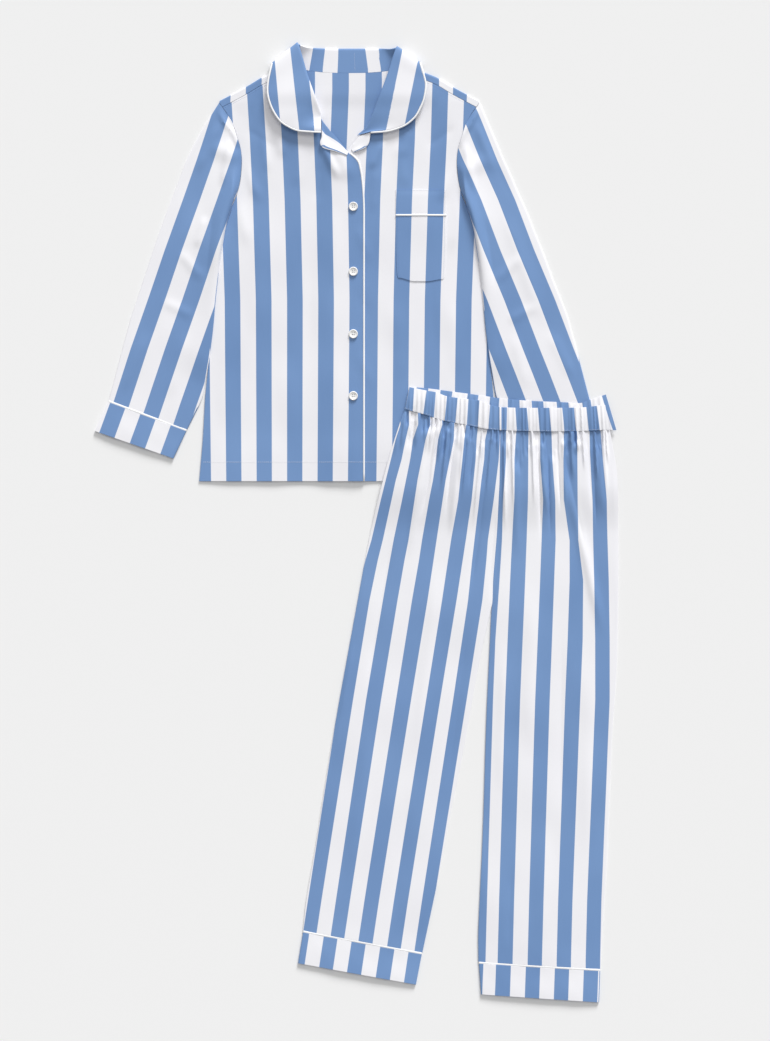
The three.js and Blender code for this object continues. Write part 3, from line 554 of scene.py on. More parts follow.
STRIPED = striped_cotton()
PIPING = plain_thread("white_piping", (0.93, 0.93, 0.94, 1), (0.88, 0.88, 0.89, 1), 1500, 1500, 0.75)
THREAD = plain_thread("sewing_thread", (0.86, 0.87, 0.90, 1), (0.78, 0.79, 0.83, 1), 4000, 2500, 0.7)
# A dark blue thread whose colour is painted shade: the grooves of the seams and the pocket's open top.
SEAM_SHADE_THREAD = plain_thread("seam_shade_thread", (0.20, 0.30, 0.50, 1), (0.15, 0.24, 0.43, 1), 4000, 2500, 0.7)
RESIN = button_finish()
print("finishes:", [m.name for m in bpy.data.materials])

# %% [markdown]
# ## How the layers of the shirt lie
#
# The back lies on the surface, then the wearer's left front with the buttonless edge, then the
# right front over it at the placket. Air between back and front lets the body rise to a soft
# crown. Every piece that lies on the shirt reads its height from these functions.

# %% Heights of the shirt
BODY_SIDE = [
    (0, 245), (69, 239), (139, 235), (226, 226), (283, 221), (332, 216), (409, 205), (430, 199),
    (472, 182), (497, 177), (534, 176), (565, 184), (590, 193), (618, 212),
]
SHOULDER_TIP = 618
SHOULDER_FOLD = [
    (0, 712), (60, 706), (97, 677), (120, 668), (143, 659), (165, 646), (185, 635), (212, 621),
]
NECK_SIDE = 97
BACK_NECK = [(0, 666), (40, 667), (74, 671), (NECK_SIDE, 675)]
SHIRT_PUFF = 1.8
HEM_LIFT = 1.5  # how far the front's hem stands off the back

side_at = curve(BODY_SIDE)
shoulder_at = curve(SHOULDER_FOLD)
back_neck_at = curve(BACK_NECK)

SHIRT_FOLDS = folds([
    # Under the collar's ends and down from the neck
    (318, 136, 340, 182, 4, 1.9), (328, 134, 352, 184, 8, 1.2), (384, 138, 370, 172, 4, 1.2),
    (276, 122, 284, 160, 5, 0.9), (410, 126, 402, 160, 5, 0.8),
    (262, 125, 268, 175, 5, 0.7), (300, 140, 296, 190, 6, 0.6), (398, 140, 405, 190, 6, 0.6),
    (322, 160, 318, 205, 5, -0.6), (378, 165, 372, 215, 5, 0.6),
    # From the armholes into the body
    (236, 150, 262, 205, 5, 1.0), (232, 185, 250, 250, 6, 0.8), (244, 128, 280, 150, 5, -0.5),
    (462, 150, 438, 205, 5, 1.0), (466, 190, 450, 255, 6, 0.8), (458, 126, 425, 148, 5, -0.5),
    # Down the fronts
    (262, 230, 256, 340, 8, 0.6), (312, 250, 308, 380, 8, -0.5), (288, 350, 292, 455, 9, 0.5),
    (395, 300, 402, 385, 8, 0.6), (430, 260, 436, 370, 9, -0.5), (452, 300, 458, 380, 8, 0.6),
    (228, 330, 224, 430, 7, 0.5), (336, 205, 334, 290, 6, 0.4), (338, 330, 336, 440, 6, 0.4),
    # Along the placket
    (355, 225, 372, 262, 4, 0.5), (355, 290, 372, 322, 4, -0.5), (356, 350, 374, 388, 4, 0.5),
])


def back_height(x, y):
    """The back's height, one layer up where the collar's fall lies under it."""
    over_collar = smooth((y - 606) / 28) * smooth((156 - np.abs(x)) / 28)
    return WALL / 2 + LAYER * over_collar


def shirt_air(x, y):
    inward = side_at(np.minimum(y, SHOULDER_TIP)) - np.abs(x)
    body = SHIRT_PUFF * smooth(inward / 80) * smooth(y / 60)
    clear_of_trousers = 1 - smooth((x - 5) / 40)
    wave = 1 + 0.22 * np.sin(x / 23 + 1) + 0.16 * np.sin(x / 11)
    hem = HEM_LIFT * wave * (1 - smooth(y / 95)) * smooth(inward / 40) * clear_of_trousers
    return body + hem


def left_front_height(x, y):
    return back_height(x, y) + SIDE_LAYER + shirt_air(x, y)


def right_front_height(x, y):
    return left_front_height(x, y) + LAYER * smooth((x + 62) / 36)


def front_folds(x, y):
    from_side = smooth((side_at(np.minimum(y, SHOULDER_TIP)) - np.abs(x)) / 24)
    seen = 1.9 * SHIRT_FOLDS(x + SHIRT_AT[0], y + SHIRT_AT[1]) + slack(x, y, 0.8)
    held = from_side * smooth((SHOULDER_TIP + 10 - y) / 30) * (0.3 + 0.7 * smooth(y / 40))
    return np.maximum(seen * held, -1.2)


# %% [markdown]
# ## Shirt back
#
# The back is one piece of cloth that also comes over the shoulders to a seam on the front, as
# the photograph shows by the mismatched stripes along the top edge. It is a stack of rows: flat
# ones up to the shoulder, then a few that turn over the fold and end at the seam.

# %% Shirt back
# Each row: height at the side, then height and place of the right front's edge and of the left's
BODY_ROWS = [
    (0, 0, 22, 0, -20), (69, 69, 22, 69, -20), (139, 139, 22, 139, -20), (190, 195, 22, 195, -20),
    (245, 255, 22, 255, -20), (300, 315, 22, 315, -20), (345, 365, 22, 365, -20),
    (385, 410, 22, 410, -20), (415, 443, 22, 440, -20), (440, 470, 21, 470, -20),
    (458, 492, 19, 494, -20), (472, 508, 16.5, 510, -18), (490, 522, 12, 525, -12),
    (508, 537, -3, 540, -2), (527, 566, -27, 567, 19.5), (545, 597, -50.8, 588, 41),
    (563, 612, -58.8, 615, 55.8), (582, 635, -71.8, 644, 75.8), (600, 656, -85, 658, 84.8),
    (606, 671, -95.5, 671, 95),
]
SHOULDER_TURN = 12
SHOULDER_STEP = 0.15  # how far the back's edge stands above the front at their seam


def turned_height(x, y):
    return left_front_height(x, y) + SHOULDER_STEP


def shoulder_radius(x):
    crest = shoulder_at(np.abs(x))
    return (turned_height(x, crest) - back_height(x, crest)) / 2


def over_shoulder(x, reach):
    """A point of the back at a length of cloth above the hem, turned over the shoulder."""
    crest, radius = shoulder_at(np.abs(x)), shoulder_radius(x)
    start = crest - radius - WALL / 2
    turn = (reach - start) / radius
    low = back_height(x, crest)
    flat = np.stack([x, reach, back_height(x, reach)], -1)
    bent = np.stack([x, start + radius * np.sin(turn), low + radius * (1 - np.cos(turn))], -1)
    past_y = start - (reach - start - np.pi * radius)
    past = np.stack([x, past_y, turned_height(x, past_y)], -1)
    return np.where((turn <= 0)[..., None], flat, np.where((turn < np.pi)[..., None], bent, past))


def back_reach(x):
    out = np.abs(x)
    crest, radius = shoulder_at(out), shoulder_radius(x)
    wrapped = crest - radius - WALL / 2 + np.pi * radius + SHOULDER_TURN - radius - WALL / 2
    turned = smooth((out - 84) / 26)
    return back_neck_at(np.minimum(out, NECK_SIDE)) * (1 - turned) + wrapped * turned


def on_armhole(line_height):
    x = side_at(np.array(SHOULDER_TIP))
    for _ in range(6):
        x = side_at(np.minimum(line_height(x), SHOULDER_TIP))
    return x


def flat_top(x):
    """Where the back stops lying flat, short of the shoulder's fold and of its own end."""
    return np.minimum(back_reach(x) - 3, shoulder_at(np.abs(x)) - 4)


def turned_row(x, share):
    """The back at a share of the way from its flat part to its end."""
    return over_shoulder(x, flat_top(x) + (back_reach(x) - flat_top(x)) * share)


def shirt_back_net():
    across = np.linspace(-1, 1, 101)
    heights = np.array([row[0] for row in BODY_ROWS[:-1]] + [SHOULDER_TIP], float)
    heights = refine(heights, 4)
    rows = []
    for y in heights:
        x = across * side_at(np.array(y))
        freed = 1 - np.abs(across) ** 6 if y < SHOULDER_TIP else np.ones_like(across)
        rise = freed * smooth((y - 440) / (SHOULDER_TIP - 440)) * (flat_top(x) - SHOULDER_TIP)
        rows.append(np.stack([x, y + rise, back_height(x, y + rise)], -1))
    for share in np.linspace(0, 1, 13)[1:]:
        edge = on_armhole(lambda x: turned_row(np.array(x), share)[..., 1])
        rows.append(turned_row(across * edge, share))
    return np.array(rows)


BACK_STRIPES = bands([
    (90, [218, 231, 246, 262, 273, 287, 299, 315, 332.3, 348.9, 365.5, 382, 395, 410, 424.5, 439,
          453, 467, 481, 495]),
    (480, [200, 212, 227, 242, 257, 272, 288, 303, 318, 333.5, 349, 364, 379, 394, 409.5, 425,
           440, 455, 471, 486]),
])
cloth("shirt_back_cloth", shirt_back_net(), BACK_STRIPES, SHIRT_AT, "shirt_back")

# %% [markdown]
# ## Fronts
#
# Each front is a stack of rows from the side or armhole to its own free edge: the overlap with
# the piping, the roll of the collar and the neckline. The wearer's right front laps over the
# left, so its rows rise by one layer near the middle.

# %% Fronts
RIGHT_FRONT_STRIPES = even_bands([
    (75, 246, 32.0), (140, 250, 32.0), (200, 253, 31.7), (300, 256, 31.2), (400, 256.4, 30.8),
    (481, 256.8, 30.4),
], 8)
LEFT_FRONT_STRIPES = even_bands([
    (75, 368.6, 32.0), (140, 367, 31.9), (200, 364.3, 31.8), (300, 362.4, 31.2), (400, 361.8, 31),
    (481, 361, 30.8),
], 8)


def seam_at(x):
    """The shoulder seam, where the back's turned edge meets a front."""
    return shoulder_at(np.abs(x)) - SHOULDER_TURN - 2 * SEAM


def front_net(mirror, columns_of_row, height, columns=60):
    share = np.linspace(0, 1, columns + 1)[:, None]
    rows = []
    for number, row in enumerate(BODY_ROWS):
        last = number == len(BODY_ROWS) - 1
        side = np.array([side_at(np.array(float(row[0]))), row[0]])
        if last:
            side[0] = on_armhole(seam_at)
        side[0] *= mirror
        points = side + (np.array(columns_of_row(row), float) - side) * share
        if last:
            points[:, 1] = seam_at(points[:, 0])
        rows.append(points)
    flat = refine(rows, 5)
    x, y = flat[..., 0], flat[..., 1]
    tucked = 0.25 * (1 - smooth((seam_at(x) - y) / 5))
    return np.dstack([x, y, height(x, y) + front_folds(x, y) - tucked])


def left_front_count(x, y):
    """The left front's stripes, with only white left of the first one."""
    return np.maximum(LEFT_FRONT_STRIPES(x, y), -0.45)


left_front = cloth(
    "shirt_front_left_cloth",
    front_net(1, lambda row: (row[4], row[3]), left_front_height),
    left_front_count, SHIRT_AT, "shirt_front_left",
)
right_front = cloth(
    "shirt_front_right_cloth",
    front_net(-1, lambda row: (row[2], row[1]), right_front_height),
    RIGHT_FRONT_STRIPES, SHIRT_AT, "shirt_front_right",
)

# %% [markdown]
# ## Sleeves and cuffs
#
# A sleeve is a tube pressed flat, with a fold along its outer edge and a seam along its inner
# edge. One ring of points goes over the top layer, round the fold, back along the lower layer
# and round the seam. The stripe count runs on round the fold and breaks at the seam, as on a real
# sleeve. The cuff is a shorter tube of the same kind whose stripes don't meet the sleeve's.

# %% Tubes pressed flat
ARC = np.linspace(-np.pi / 2, np.pi / 2, 8)[1:-1]
FOLD_COUNT = 0.055  # how far the stripe count runs on round a pressed fold
PLAIN_PUFF = 1.4  # a crown up to this high is even, and more of it stands towards the outer fold


def flat_tube(outline, stations, columns, puff, count, at, relief=None, lift=0.0, lap=0.0):
    """A ring for each station, from the seam over the top to the fold and back below."""
    u = np.linspace(0, 1, columns + 1)
    place = outline(u, stations)
    toward = unit(place[:, -1] - place[:, 0])[:, None]
    inset = LAYER / 2 + WALL / 2
    flat = place + toward * inset * (1 - 2 * u)[None, :, None]
    low = WALL / 2 + np.reshape(lap, (-1, 1)) * smooth((u - 0.84) / 0.16)
    low = np.broadcast_to(low, flat.shape[:2])
    full = np.reshape(puff, (-1, 1))
    crown = np.sin(np.pi * u)[None] ** 0.7 * np.minimum(full, PLAIN_PUFF)
    crown = crown + np.sin(np.pi * u**3)[None] * np.maximum(full - PLAIN_PUFF, 0)
    eased = WALL / 2 + np.reshape(lap, (-1, 1)) * smooth((u - 0.5) / 0.5)
    high = np.broadcast_to(eased + LAYER + crown + np.reshape(lift, (-1, 1)), flat.shape[:2])
    if relief is not None:
        rise = relief(flat[..., 0], flat[..., 1]) * smooth(np.minimum(u, 1 - u) / 0.12)
        high = high + np.maximum(rise, -0.6 - 0.6 * crown)
    radius = (high[:, [0, -1]] - low[:, [0, -1]]) / 2

    def fold(side, angles):
        sign = 1 if side else -1
        centre = flat[:, -1 if side else 0][:, None]
        reach = sign * LAYER / 2 * np.cos(angles)[None, :, None]
        z = low[:, [-1 if side else 0]] + radius[:, [side]] * (1 + np.sin(angles)[None])
        return np.dstack([centre + toward * reach, z])

    top = np.dstack([flat, high])
    under = np.dstack([flat, low])
    ring = np.concatenate([top[:, ::-1], fold(0, ARC[::-1]), under, fold(1, ARC)], 1)
    over = count(flat[..., 0] + at[0], flat[..., 1] + at[1])
    first = over[:, :1]
    steps = np.linspace(0, FOLD_COUNT, len(ARC) + 2)[None, 1:-1]
    below = 2 * first - FOLD_COUNT - over
    last = below[:, -1:]
    weave = np.concatenate([over[:, ::-1], first - steps, below, last - steps, last - FOLD_COUNT], 1)
    return ring, weave


SLEEVE_OUTER = {
    "right": [
        (132, -393), (266, -357), (296, -347), (399, -313), (492, -279), (525, -267), (573, -244),
        (621, -217),
    ],
    "left": [
        (132, -393), (266, -357), (296, -346), (328, -333), (377, -315), (410, -301.7), (443, -288.6),
        (476, -274), (500, -264), (525, -252.7), (557, -239.6), (590, -226.5), (621, -214.5),
    ],
}
SLEEVE_INNER = [
    (84, -265), (108, -253), (139, -239), (190, -232.5), (245, -225.5), (300, -220.6), (345, -215.4),
    (385, -209.5), (415, -204.4), (440, -196.4), (458, -189), (472, -182.5),
]
CUFF_OUTER_END, CUFF_INNER_END = (-416, 82), (-287, 37)
SLEEVE_PUFF = 1.4
HEAD_PUFF = 6.8  # how much fuller the sleeve is near the armhole
SLEEVE_LAP = 2.6  # how far the sleeve's inner edge is raised where it lies on the body
LAP_OVER = 2.8  # how far that edge lies over the body's side
CUFF_PIPE = 2.6  # the width of the piping between a tube and its cuff
CUFF_LIFT = 1.5
CUFF_PITCH = 52.8  # across one blue and one white stripe of a sleeve's cuff
CUFF_FIRST = 6  # from the cuff's outer fold to its first blue stripe


def sleeve_outline(side):
    def armhole(t):
        y = SHOULDER_TIP + (SLEEVE_INNER[-1][0] - SHOULDER_TIP) * t
        return np.stack([-side_at(y) - SEAM - 0.15, y], -1)

    outer, inner = by_height(SLEEVE_OUTER[side]), by_height(SLEEVE_INNER)
    shift = armhole(np.array(0.0)) - outer(np.array(1.0))

    def left(t):
        return outer(1 - t) + shift * ((1 - t) ** 6)[..., None]

    def right(t):
        edge = inner(1 - t)
        edge[..., 0] += LAP_OVER * sleeve_lap(edge[..., 1], t, 0.04)
        return edge

    return patch(left, right, near=armhole)


def sleeve_lap(y, t, start):
    """One where the sleeve's inner edge lies on the body, nought at armhole and cuff."""
    return smooth((y - 150) / 50) * smooth((np.asarray(t) - start) / 0.04)


def sided(outline, mirror):
    """The outline as it is for 1, or mirrored for -1."""
    return lambda u, v: outline(u, v) * np.array([mirror, 1])


def cuff_outline(seam_outer, seam_inner, end_outer, end_inner):
    return patch(straight(seam_outer, end_outer), straight(seam_inner, end_inner))


def cuff_stations(depth):
    """Rings along a cuff, from just past its piping to its end."""
    start = (2 * SEAM + CUFF_PIPE) / depth
    return start + np.linspace(0, 1, 12) * (1 - start)


def cuff_relief(x, y):
    return slack(x, y, 0.5, 40)


RIGHT_SLEEVE_STRIPES = even_bands([
    (95, 218, 34), (120, 210, 34.3), (160, 197, 34.3), (200, 183, 34.3), (250, 165, 34.4),
    (300, 148, 34.4), (350, 130.5, 34.3), (405, 112.8, 33.6), (440, 101, 33.6),
], 6)
LEFT_SLEEVE_STRIPES = even_bands([
    (95, 453, 34), (120, 464, 34), (160, 480, 34), (200, 498, 34), (250, 517, 34), (300, 538, 34),
    (350, 557, 34), (375, 567, 34), (440, 592, 34),
], 2)
RIGHT_SLEEVE_FOLDS = folds([
    (214, 101, 229, 132, 2.2, 1.6), (221, 104, 236, 136, 1.6, -1.8), (228, 120, 240, 150, 2.5, 1.6),
    (208, 146, 244, 160, 8, 1.3), (222, 118, 196, 176, 5, 1.1), (208, 118, 172, 205, 6, -0.8),
    (232, 135, 222, 190, 4, 1.4), (196, 200, 150, 330, 7, 0.8), (214, 205, 205, 290, 5, -0.9),
    (178, 250, 205, 282, 5, 0.7), (160, 300, 196, 318, 5, 0.6), (150, 330, 120, 396, 6, 0.7),
    (188, 330, 168, 402, 6, 0.6), (206, 215, 196, 250, 4, 0.9), (184, 150, 202, 128, 4, 0.7),
])
LEFT_SLEEVE_FOLDS = folds([
    (482, 102, 466, 134, 2.2, 1.6), (475, 104, 460, 136, 1.6, -1.8), (468, 120, 457, 150, 2.5, 1.6),
    (490, 158, 455, 176, 8, 1.4), (474, 118, 496, 176, 5, 1.1), (486, 120, 516, 205, 6, -0.8),
    (464, 140, 474, 195, 4, 1.4), (500, 200, 546, 330, 7, 0.8), (484, 215, 496, 290, 5, -0.9),
    (522, 255, 494, 284, 5, 0.7), (540, 305, 505, 322, 5, 0.6), (548, 330, 574, 380, 6, 0.7),
    (512, 330, 528, 392, 6, 0.6), (512, 150, 494, 128, 4, 0.7),
])


def sleeve(side, mirror, count, marks):
    outline = sided(sleeve_outline(side), mirror)
    seam_outer = SLEEVE_OUTER[side][0][::-1]
    seam_inner = SLEEVE_INNER[0][::-1]
    cuff = sided(cuff_outline(seam_outer, seam_inner, CUFF_OUTER_END, CUFF_INNER_END), mirror)
    depth = np.hypot(CUFF_OUTER_END[0] - seam_outer[0], CUFF_OUTER_END[1] - seam_outer[1])

    def relief(x, y):
        return 1.7 * marks(x + SHIRT_AT[0], y + SHIRT_AT[1]) + slack(x, y, 0.7)

    along = np.linspace(0, 1, 130)
    inner_height = outline(np.array([1.0]), along)[:, 0, 1]
    lap = SLEEVE_LAP * sleeve_lap(inner_height, along, 0.0)
    puff = SLEEVE_PUFF + HEAD_PUFF * smooth(along / 0.08) * smooth((0.6 - along) / 0.4)
    ring, weave = flat_tube(outline, along, 56, puff, count, SHIRT_AT, relief, lap=lap)
    cloth(
        f"sleeve_{side}_cloth", ring, None, SHIRT_AT, f"sleeve_{side}",
        closed=True, weave=weave,
    )
    middle = cuff(ENDS, np.array([0.5]))[0]
    corner, across = middle[0], unit(middle[1] - middle[0])

    def cuff_count(x, y):
        from_fold = (x - SHIRT_AT[0] - corner[0]) * across[0] + (y - SHIRT_AT[1] - corner[1]) * across[1]
        return (from_fold - CUFF_FIRST) / CUFF_PITCH

    stations = cuff_stations(depth)
    lift = 0.4 + (CUFF_LIFT - 0.4) * smooth(stations)
    ring, weave = flat_tube(
        cuff, stations, 30, SLEEVE_PUFF, cuff_count, SHIRT_AT, cuff_relief, lift=lift
    )
    cloth(
        f"cuff_{side}_cloth", ring, None, SHIRT_AT, f"cuff_{side}",
        closed=True, weave=weave,
    )
    return cuff, depth


right_cuff, cuff_depth = sleeve("right", 1, RIGHT_SLEEVE_STRIPES, RIGHT_SLEEVE_FOLDS)
left_cuff, _ = sleeve("left", -1, LEFT_SLEEVE_STRIPES, LEFT_SLEEVE_FOLDS)

# %% [markdown]
# ## Collar
#
# The collar is one sheet that starts at the neck seam, stands up, rolls over and falls back with
# its outer edge on the fronts. Stations along it hold where neck, roll and edge lie, and how far
# the collar has turned round the side of the neck: behind the neck the fall hides below the back.

# %% Collar
COLLAR = [
    (-46.5, 595, -46, 570, -50, 597, 180), (-47.5, 599, -65, 571, -52.5, 602, 180),
    (-50, 607, -84, 573, -58, 612, 180), (-54, 618, -100, 580, -64, 623, 180),
    (-59, 633, -113, 590, -71, 635, 180), (-65, 650, -125, 610, -79, 648, 180),
    (-71, 668, -131, 632, -86.5, 660, 180), (-77, 690, -130, 653, -93, 672, 180),
    (-81, 709, -121, 676, -96, 681, 135), (-81, 709, -121, 676, -96, 681, 90),
    (-81, 709, -121, 676, -96, 681, 45), (-71, 707, -112, 664, -89, 679, 0),
    (-56, 706, -90, 650, -72, 671.5, 0), (-30, 705, -50, 643, -38, 667.5, 0),
    (0, 705, 0, 641, 0, 666.5, 0), (30, 705, 50, 643, 38, 667.5, 0),
    (54, 705, 90, 650, 72, 671.5, 0), (68, 704, 104, 664, 89, 679, 0),
    (75, 704, 111, 678, 96, 681, 45), (75, 704, 111, 678, 96, 681, 90),
    (75, 704, 111, 678, 96, 681, 135), (71, 688, 120, 660, 92, 672, 180),
    (65, 668, 123, 645, 84, 658, 180), (58, 648, 120, 624, 75, 644, 180),
    (51, 630, 114, 609, 65, 630, 180), (44, 611, 106, 595, 55, 615, 180),
    (38, 595, 92, 583, 45.4, 600, 180), (32, 582, 76, 576, 38, 588, 180),
    (24, 572, 60, 572, 26, 576, 180), (14, 564.5, 35, 570, 15.5, 567, 180),
]
COLLAR_LIFT = {"right": 8.8, "left": 5.6}  # how far the fall's edge stands off the fronts
ROLL_SHARE = 0.85  # the roll's share of that lift
ROLL_TIPS = (42, 70)  # the stations just inside the roll's turn at the sides of the neck
TIP_RISE = 7.0
STAND_STRIPES = bands([
    (45, [262, 276, 289, 300.5, 313.8, 325.5, 337.4, 365.5, 378, 398, 414, 430]),
    (70, [258, 272, 285, 297.5, 309.3, 322.6, 337.4, 369.5, 380, 400, 416, 432]),
])
FALL_STRIPES = bands([
    (45, [257, 273.6, 290.0, 305.5, 318, 332, 346, 362, 380, 403.6, 421.5, 437]),
    (70, [259.5, 275.8, 292.8, 308.4, 320, 333, 346, 359, 372, 398.6, 416.1, 432]),
    (90, [261.3, 277.6, 295.0, 310.5, 322, 333, 344, 354, 365, 394.6, 412.0, 428]),
    (131, [265, 281.3, 299.6, 314.9, 322, 329, 336, 343, 350, 386.4, 403.7, 420]),
    (150, [267, 283, 301.6, 317, 323, 329, 335, 340, 345, 382.5, 400, 416]),
])


def collar_net():
    """The collar's net and its stripe count: the stand's behind the neck, the fall's in front."""
    table = refine(COLLAR, 4)
    roll, outer, neck = table[:, 0:2], table[:, 2:4], table[:, 4:6]
    side = np.sign(roll[:, :1])
    turn = np.radians(table[:, 6:7])
    station = np.arange(len(table))[:, None]
    flare = 1 + 0.18 * np.sin(station / 7.0) + 0.1 * np.sin(station / 3.1 + 2)
    parts = [("stand", s) for s in np.linspace(1, 0.06, 9)]
    parts += [("roll", angle) for angle in np.linspace(-60, 60, 5)]
    parts += [("fall", s) for s in np.linspace(0.04, 1, 22)]
    columns = []
    for part, share in parts:
        end = neck if part == "stand" else outer
        p = roll if part == "roll" else roll + (end - roll) * share
        x, y = p[:, :1], p[:, 1:]
        front = np.where(side < 0, right_front_height(x, y), left_front_height(x, y))
        edge_lift = flare * np.where(side < 0, COLLAR_LIFT["right"], COLLAR_LIFT["left"])
        rolled = ROLL_SHARE * smooth(np.minimum(station, len(table) - 1 - station) / 14)
        if part == "fall":
            lift = edge_lift * (rolled + (1 - rolled) * smooth(share * 1.1))
        else:
            lift = edge_lift * rolled * ((1 - share) if part == "stand" else 1)
        low = {"stand": WALL / 2 + LAYER, "roll": (WALL + LAYER) / 2, "fall": WALL / 2}[part]
        high = front + {"stand": 0, "roll": LAYER / 2, "fall": LAYER}[part] + lift
        pull = 0.0
        if part == "roll":
            bend = np.radians(share)
            low = low - LAYER / 2 * np.sin(bend)
            high = high + LAYER / 2 * np.sin(bend)
            pull = LAYER / 2 * np.cos(bend)
        radius = (high - low) / 2
        bulge = radius * np.sin(turn) * np.sqrt(0.5)
        z = low + radius * (1 - np.cos(turn))
        near_roll = 1 if part == "roll" else (1 - share) ** 2.5
        z = z + TIP_RISE * near_roll * sum(np.exp(-(((station - tip) / 4) ** 2)) for tip in ROLL_TIPS)
        inward = unit(roll - outer) * pull
        columns.append(np.concatenate([x + side * bulge + inward[:, :1], y + bulge + inward[:, 1:], z], 1))
    net = np.stack(columns, 1)
    x, y = net[..., 0] + SHIRT_AT[0], net[..., 1] + SHIRT_AT[1]
    in_front = smooth((table[:, 6:7] - 50) / 70)
    return net, STAND_STRIPES(x, y) * (1 - in_front) + FALL_STRIPES(x, y) * in_front


collar_points, collar_weave = collar_net()
collar_line = cloth(
    "collar_cloth", collar_points, None, SHIRT_AT, "collar",
    weave=collar_weave,
)

# %% [markdown]
# ## Reveres and pocket
#
# Each front turns back below the collar as a small revere, cut so that it shows mostly white.
# The pocket is a patch whose stripes were cut to meet the front's.

# %% Reveres
REVERES = {
    "right": (
        [(-4, 531), (-22, 537), (-42, 543), (-47.5, 551), (-45, 560), (-44.6, 569.5)],
        [(-2, 536), (-13, 550), (-24, 563), (-33, 573), (-40, 582), (-45.2, 590)],
        right_front_height,
        ([0, 0.25, 0.5, 0.75, 1], [1.0, 0.88, 0.72, 0.5, 0.12]),
    ),
    "left": (
        [(7, 536), (14, 538.5), (26, 544), (31.5, 551), (33.5, 560), (34.6, 568.6)],
        [(3.5, 541.5), (5, 545), (6, 549), (9, 553), (12, 558), (14.6, 561.5)],
        left_front_height,
        ([0, 1], [1.3, 1.3]),
    ),
}
REVERE_LIFT = {"right": 4.0, "left": 2.6}  # how far each outer edge stands off its front


def revere_count(u, v, blue_from):
    """A thin blue streak beside the lower edge, then white, then blue towards the roll."""
    rows = []
    for place in v:
        streak = 0.07 - 0.6 * smooth((place - 0.42) / 0.2)
        knots = [streak - 0.4, streak, streak + 0.09, np.interp(place, *blue_from), 2.5]
        rows.append(np.interp(u, knots, [-0.45, 0, 0.5, 1.0, 1.49]))
    return np.array(rows)


for side, (outer, roll, height, blue_from) in REVERES.items():
    u, v = np.linspace(0, 1, 40), np.linspace(0, 1, 60)
    flat = patch(through(outer), through(roll))(u, v)
    x, y = flat[..., 0], flat[..., 1]
    free = (1 - smooth(u / 0.7))[None] * (0.3 + 0.7 * smooth(v / 0.3))[:, None]
    lift = 0.9 * np.sin(np.pi * u)[None] ** 0.8 + REVERE_LIFT[side] * free
    net = np.dstack([x, y, height(x, y) + LAYER + lift])
    weave = revere_count(u, v, blue_from)
    cloth(
        f"revere_{side}_cloth", net, None, SHIRT_AT, f"revere_{side}",
        weave=weave,
    )

# %% Pocket
POCKET_TOP, POCKET_BAND, POCKET_LOW, POCKET_SIDE = 475, 434, 327, 337
POCKET_LEFT, POCKET_RIGHT, POCKET_LEAN, POCKET_CORNER = 76, 158, 3, 9
POCKET_STEP = 0.98  # how far the pocket lies above the front


def pocket_net():
    def side(x, mirror, lean, rise):
        points = [
            (x + mirror * POCKET_CORNER - lean, POCKET_LOW + rise),
            (x + mirror * (POCKET_LEAN - 1), POCKET_SIDE + rise / 2),
            (x, POCKET_BAND),
            (x, POCKET_TOP),
        ]
        return through(points)

    def bottom(t):
        low, high = POCKET_LEFT + POCKET_CORNER, POCKET_RIGHT - POCKET_LEAN - POCKET_CORNER
        angled = 7 * (1 - smooth(t / 0.36)) + 4 * (1 - smooth((1 - t) / 0.36))
        return np.stack([low + (high - low) * t, POCKET_LOW + angled], -1)

    outline = patch(side(POCKET_LEFT, 1, 0, 7), side(POCKET_RIGHT, -1, POCKET_LEAN, 4), near=bottom)
    u, v = np.linspace(0, 1, 33), np.linspace(0, 1, 56)
    flat = outline(u, v)
    x, y = flat[..., 0], flat[..., 1]
    puff = 0.35 * np.sin(np.pi * u)[None] ** 0.6 * smooth((1 - v) * 12)[:, None] * smooth(v * 8)[:, None]
    band = 0.15 * smooth((y - POCKET_BAND) / 2)
    return np.dstack([x, y, left_front_height(x, y) + front_folds(x, y) + POCKET_STEP + puff + band])


pocket = cloth(
    "pocket_cloth", pocket_net(), LEFT_FRONT_STRIPES, SHIRT_AT, "pocket"
)

# %% [markdown]
# ## Trousers
#
# The trousers lie over the shirt's corner and come down to the surface past its hem. Each leg is
# a front and a back that meet at the sides. The waist is gathered on elastic, so the front
# stands up in small pleats below the seam that die out down the leg.

# %% Heights of the trousers
OVER_SHIRT = 5.2
SHIRT_HEM_IN_TROUSERS = 851
PAST_HEM = 6  # how far past that hem the trousers start to come down
DROP_LENGTH = 80
LEG_PUFF = 2.2
LEG_CUFF_PUFF = LEG_PUFF * 0.7
LEG_CUFF_LIFT = 1.4
WAIST_SEAM = [
    (-143, 968), (-114, 960), (-79, 949), (-42, 942), (-6, 935), (16, 933.5), (56, 932), (96, 931.5),
    (136, 932), (190, 934),
]
waist_seam_at = curve(WAIST_SEAM)


def trouser_base(y):
    return OVER_SHIRT * smooth((y - SHIRT_HEM_IN_TROUSERS + PAST_HEM + DROP_LENGTH) / DROP_LENGTH)


random = np.random.RandomState(11)


def seam_pixel(x):
    """The waist seam's height in the photograph at one of its columns."""
    return ZERO_PIXEL[1] - (waist_seam_at(np.array((x - 492.5) * PIXEL)) + TROUSERS_AT[1]) / PIXEL


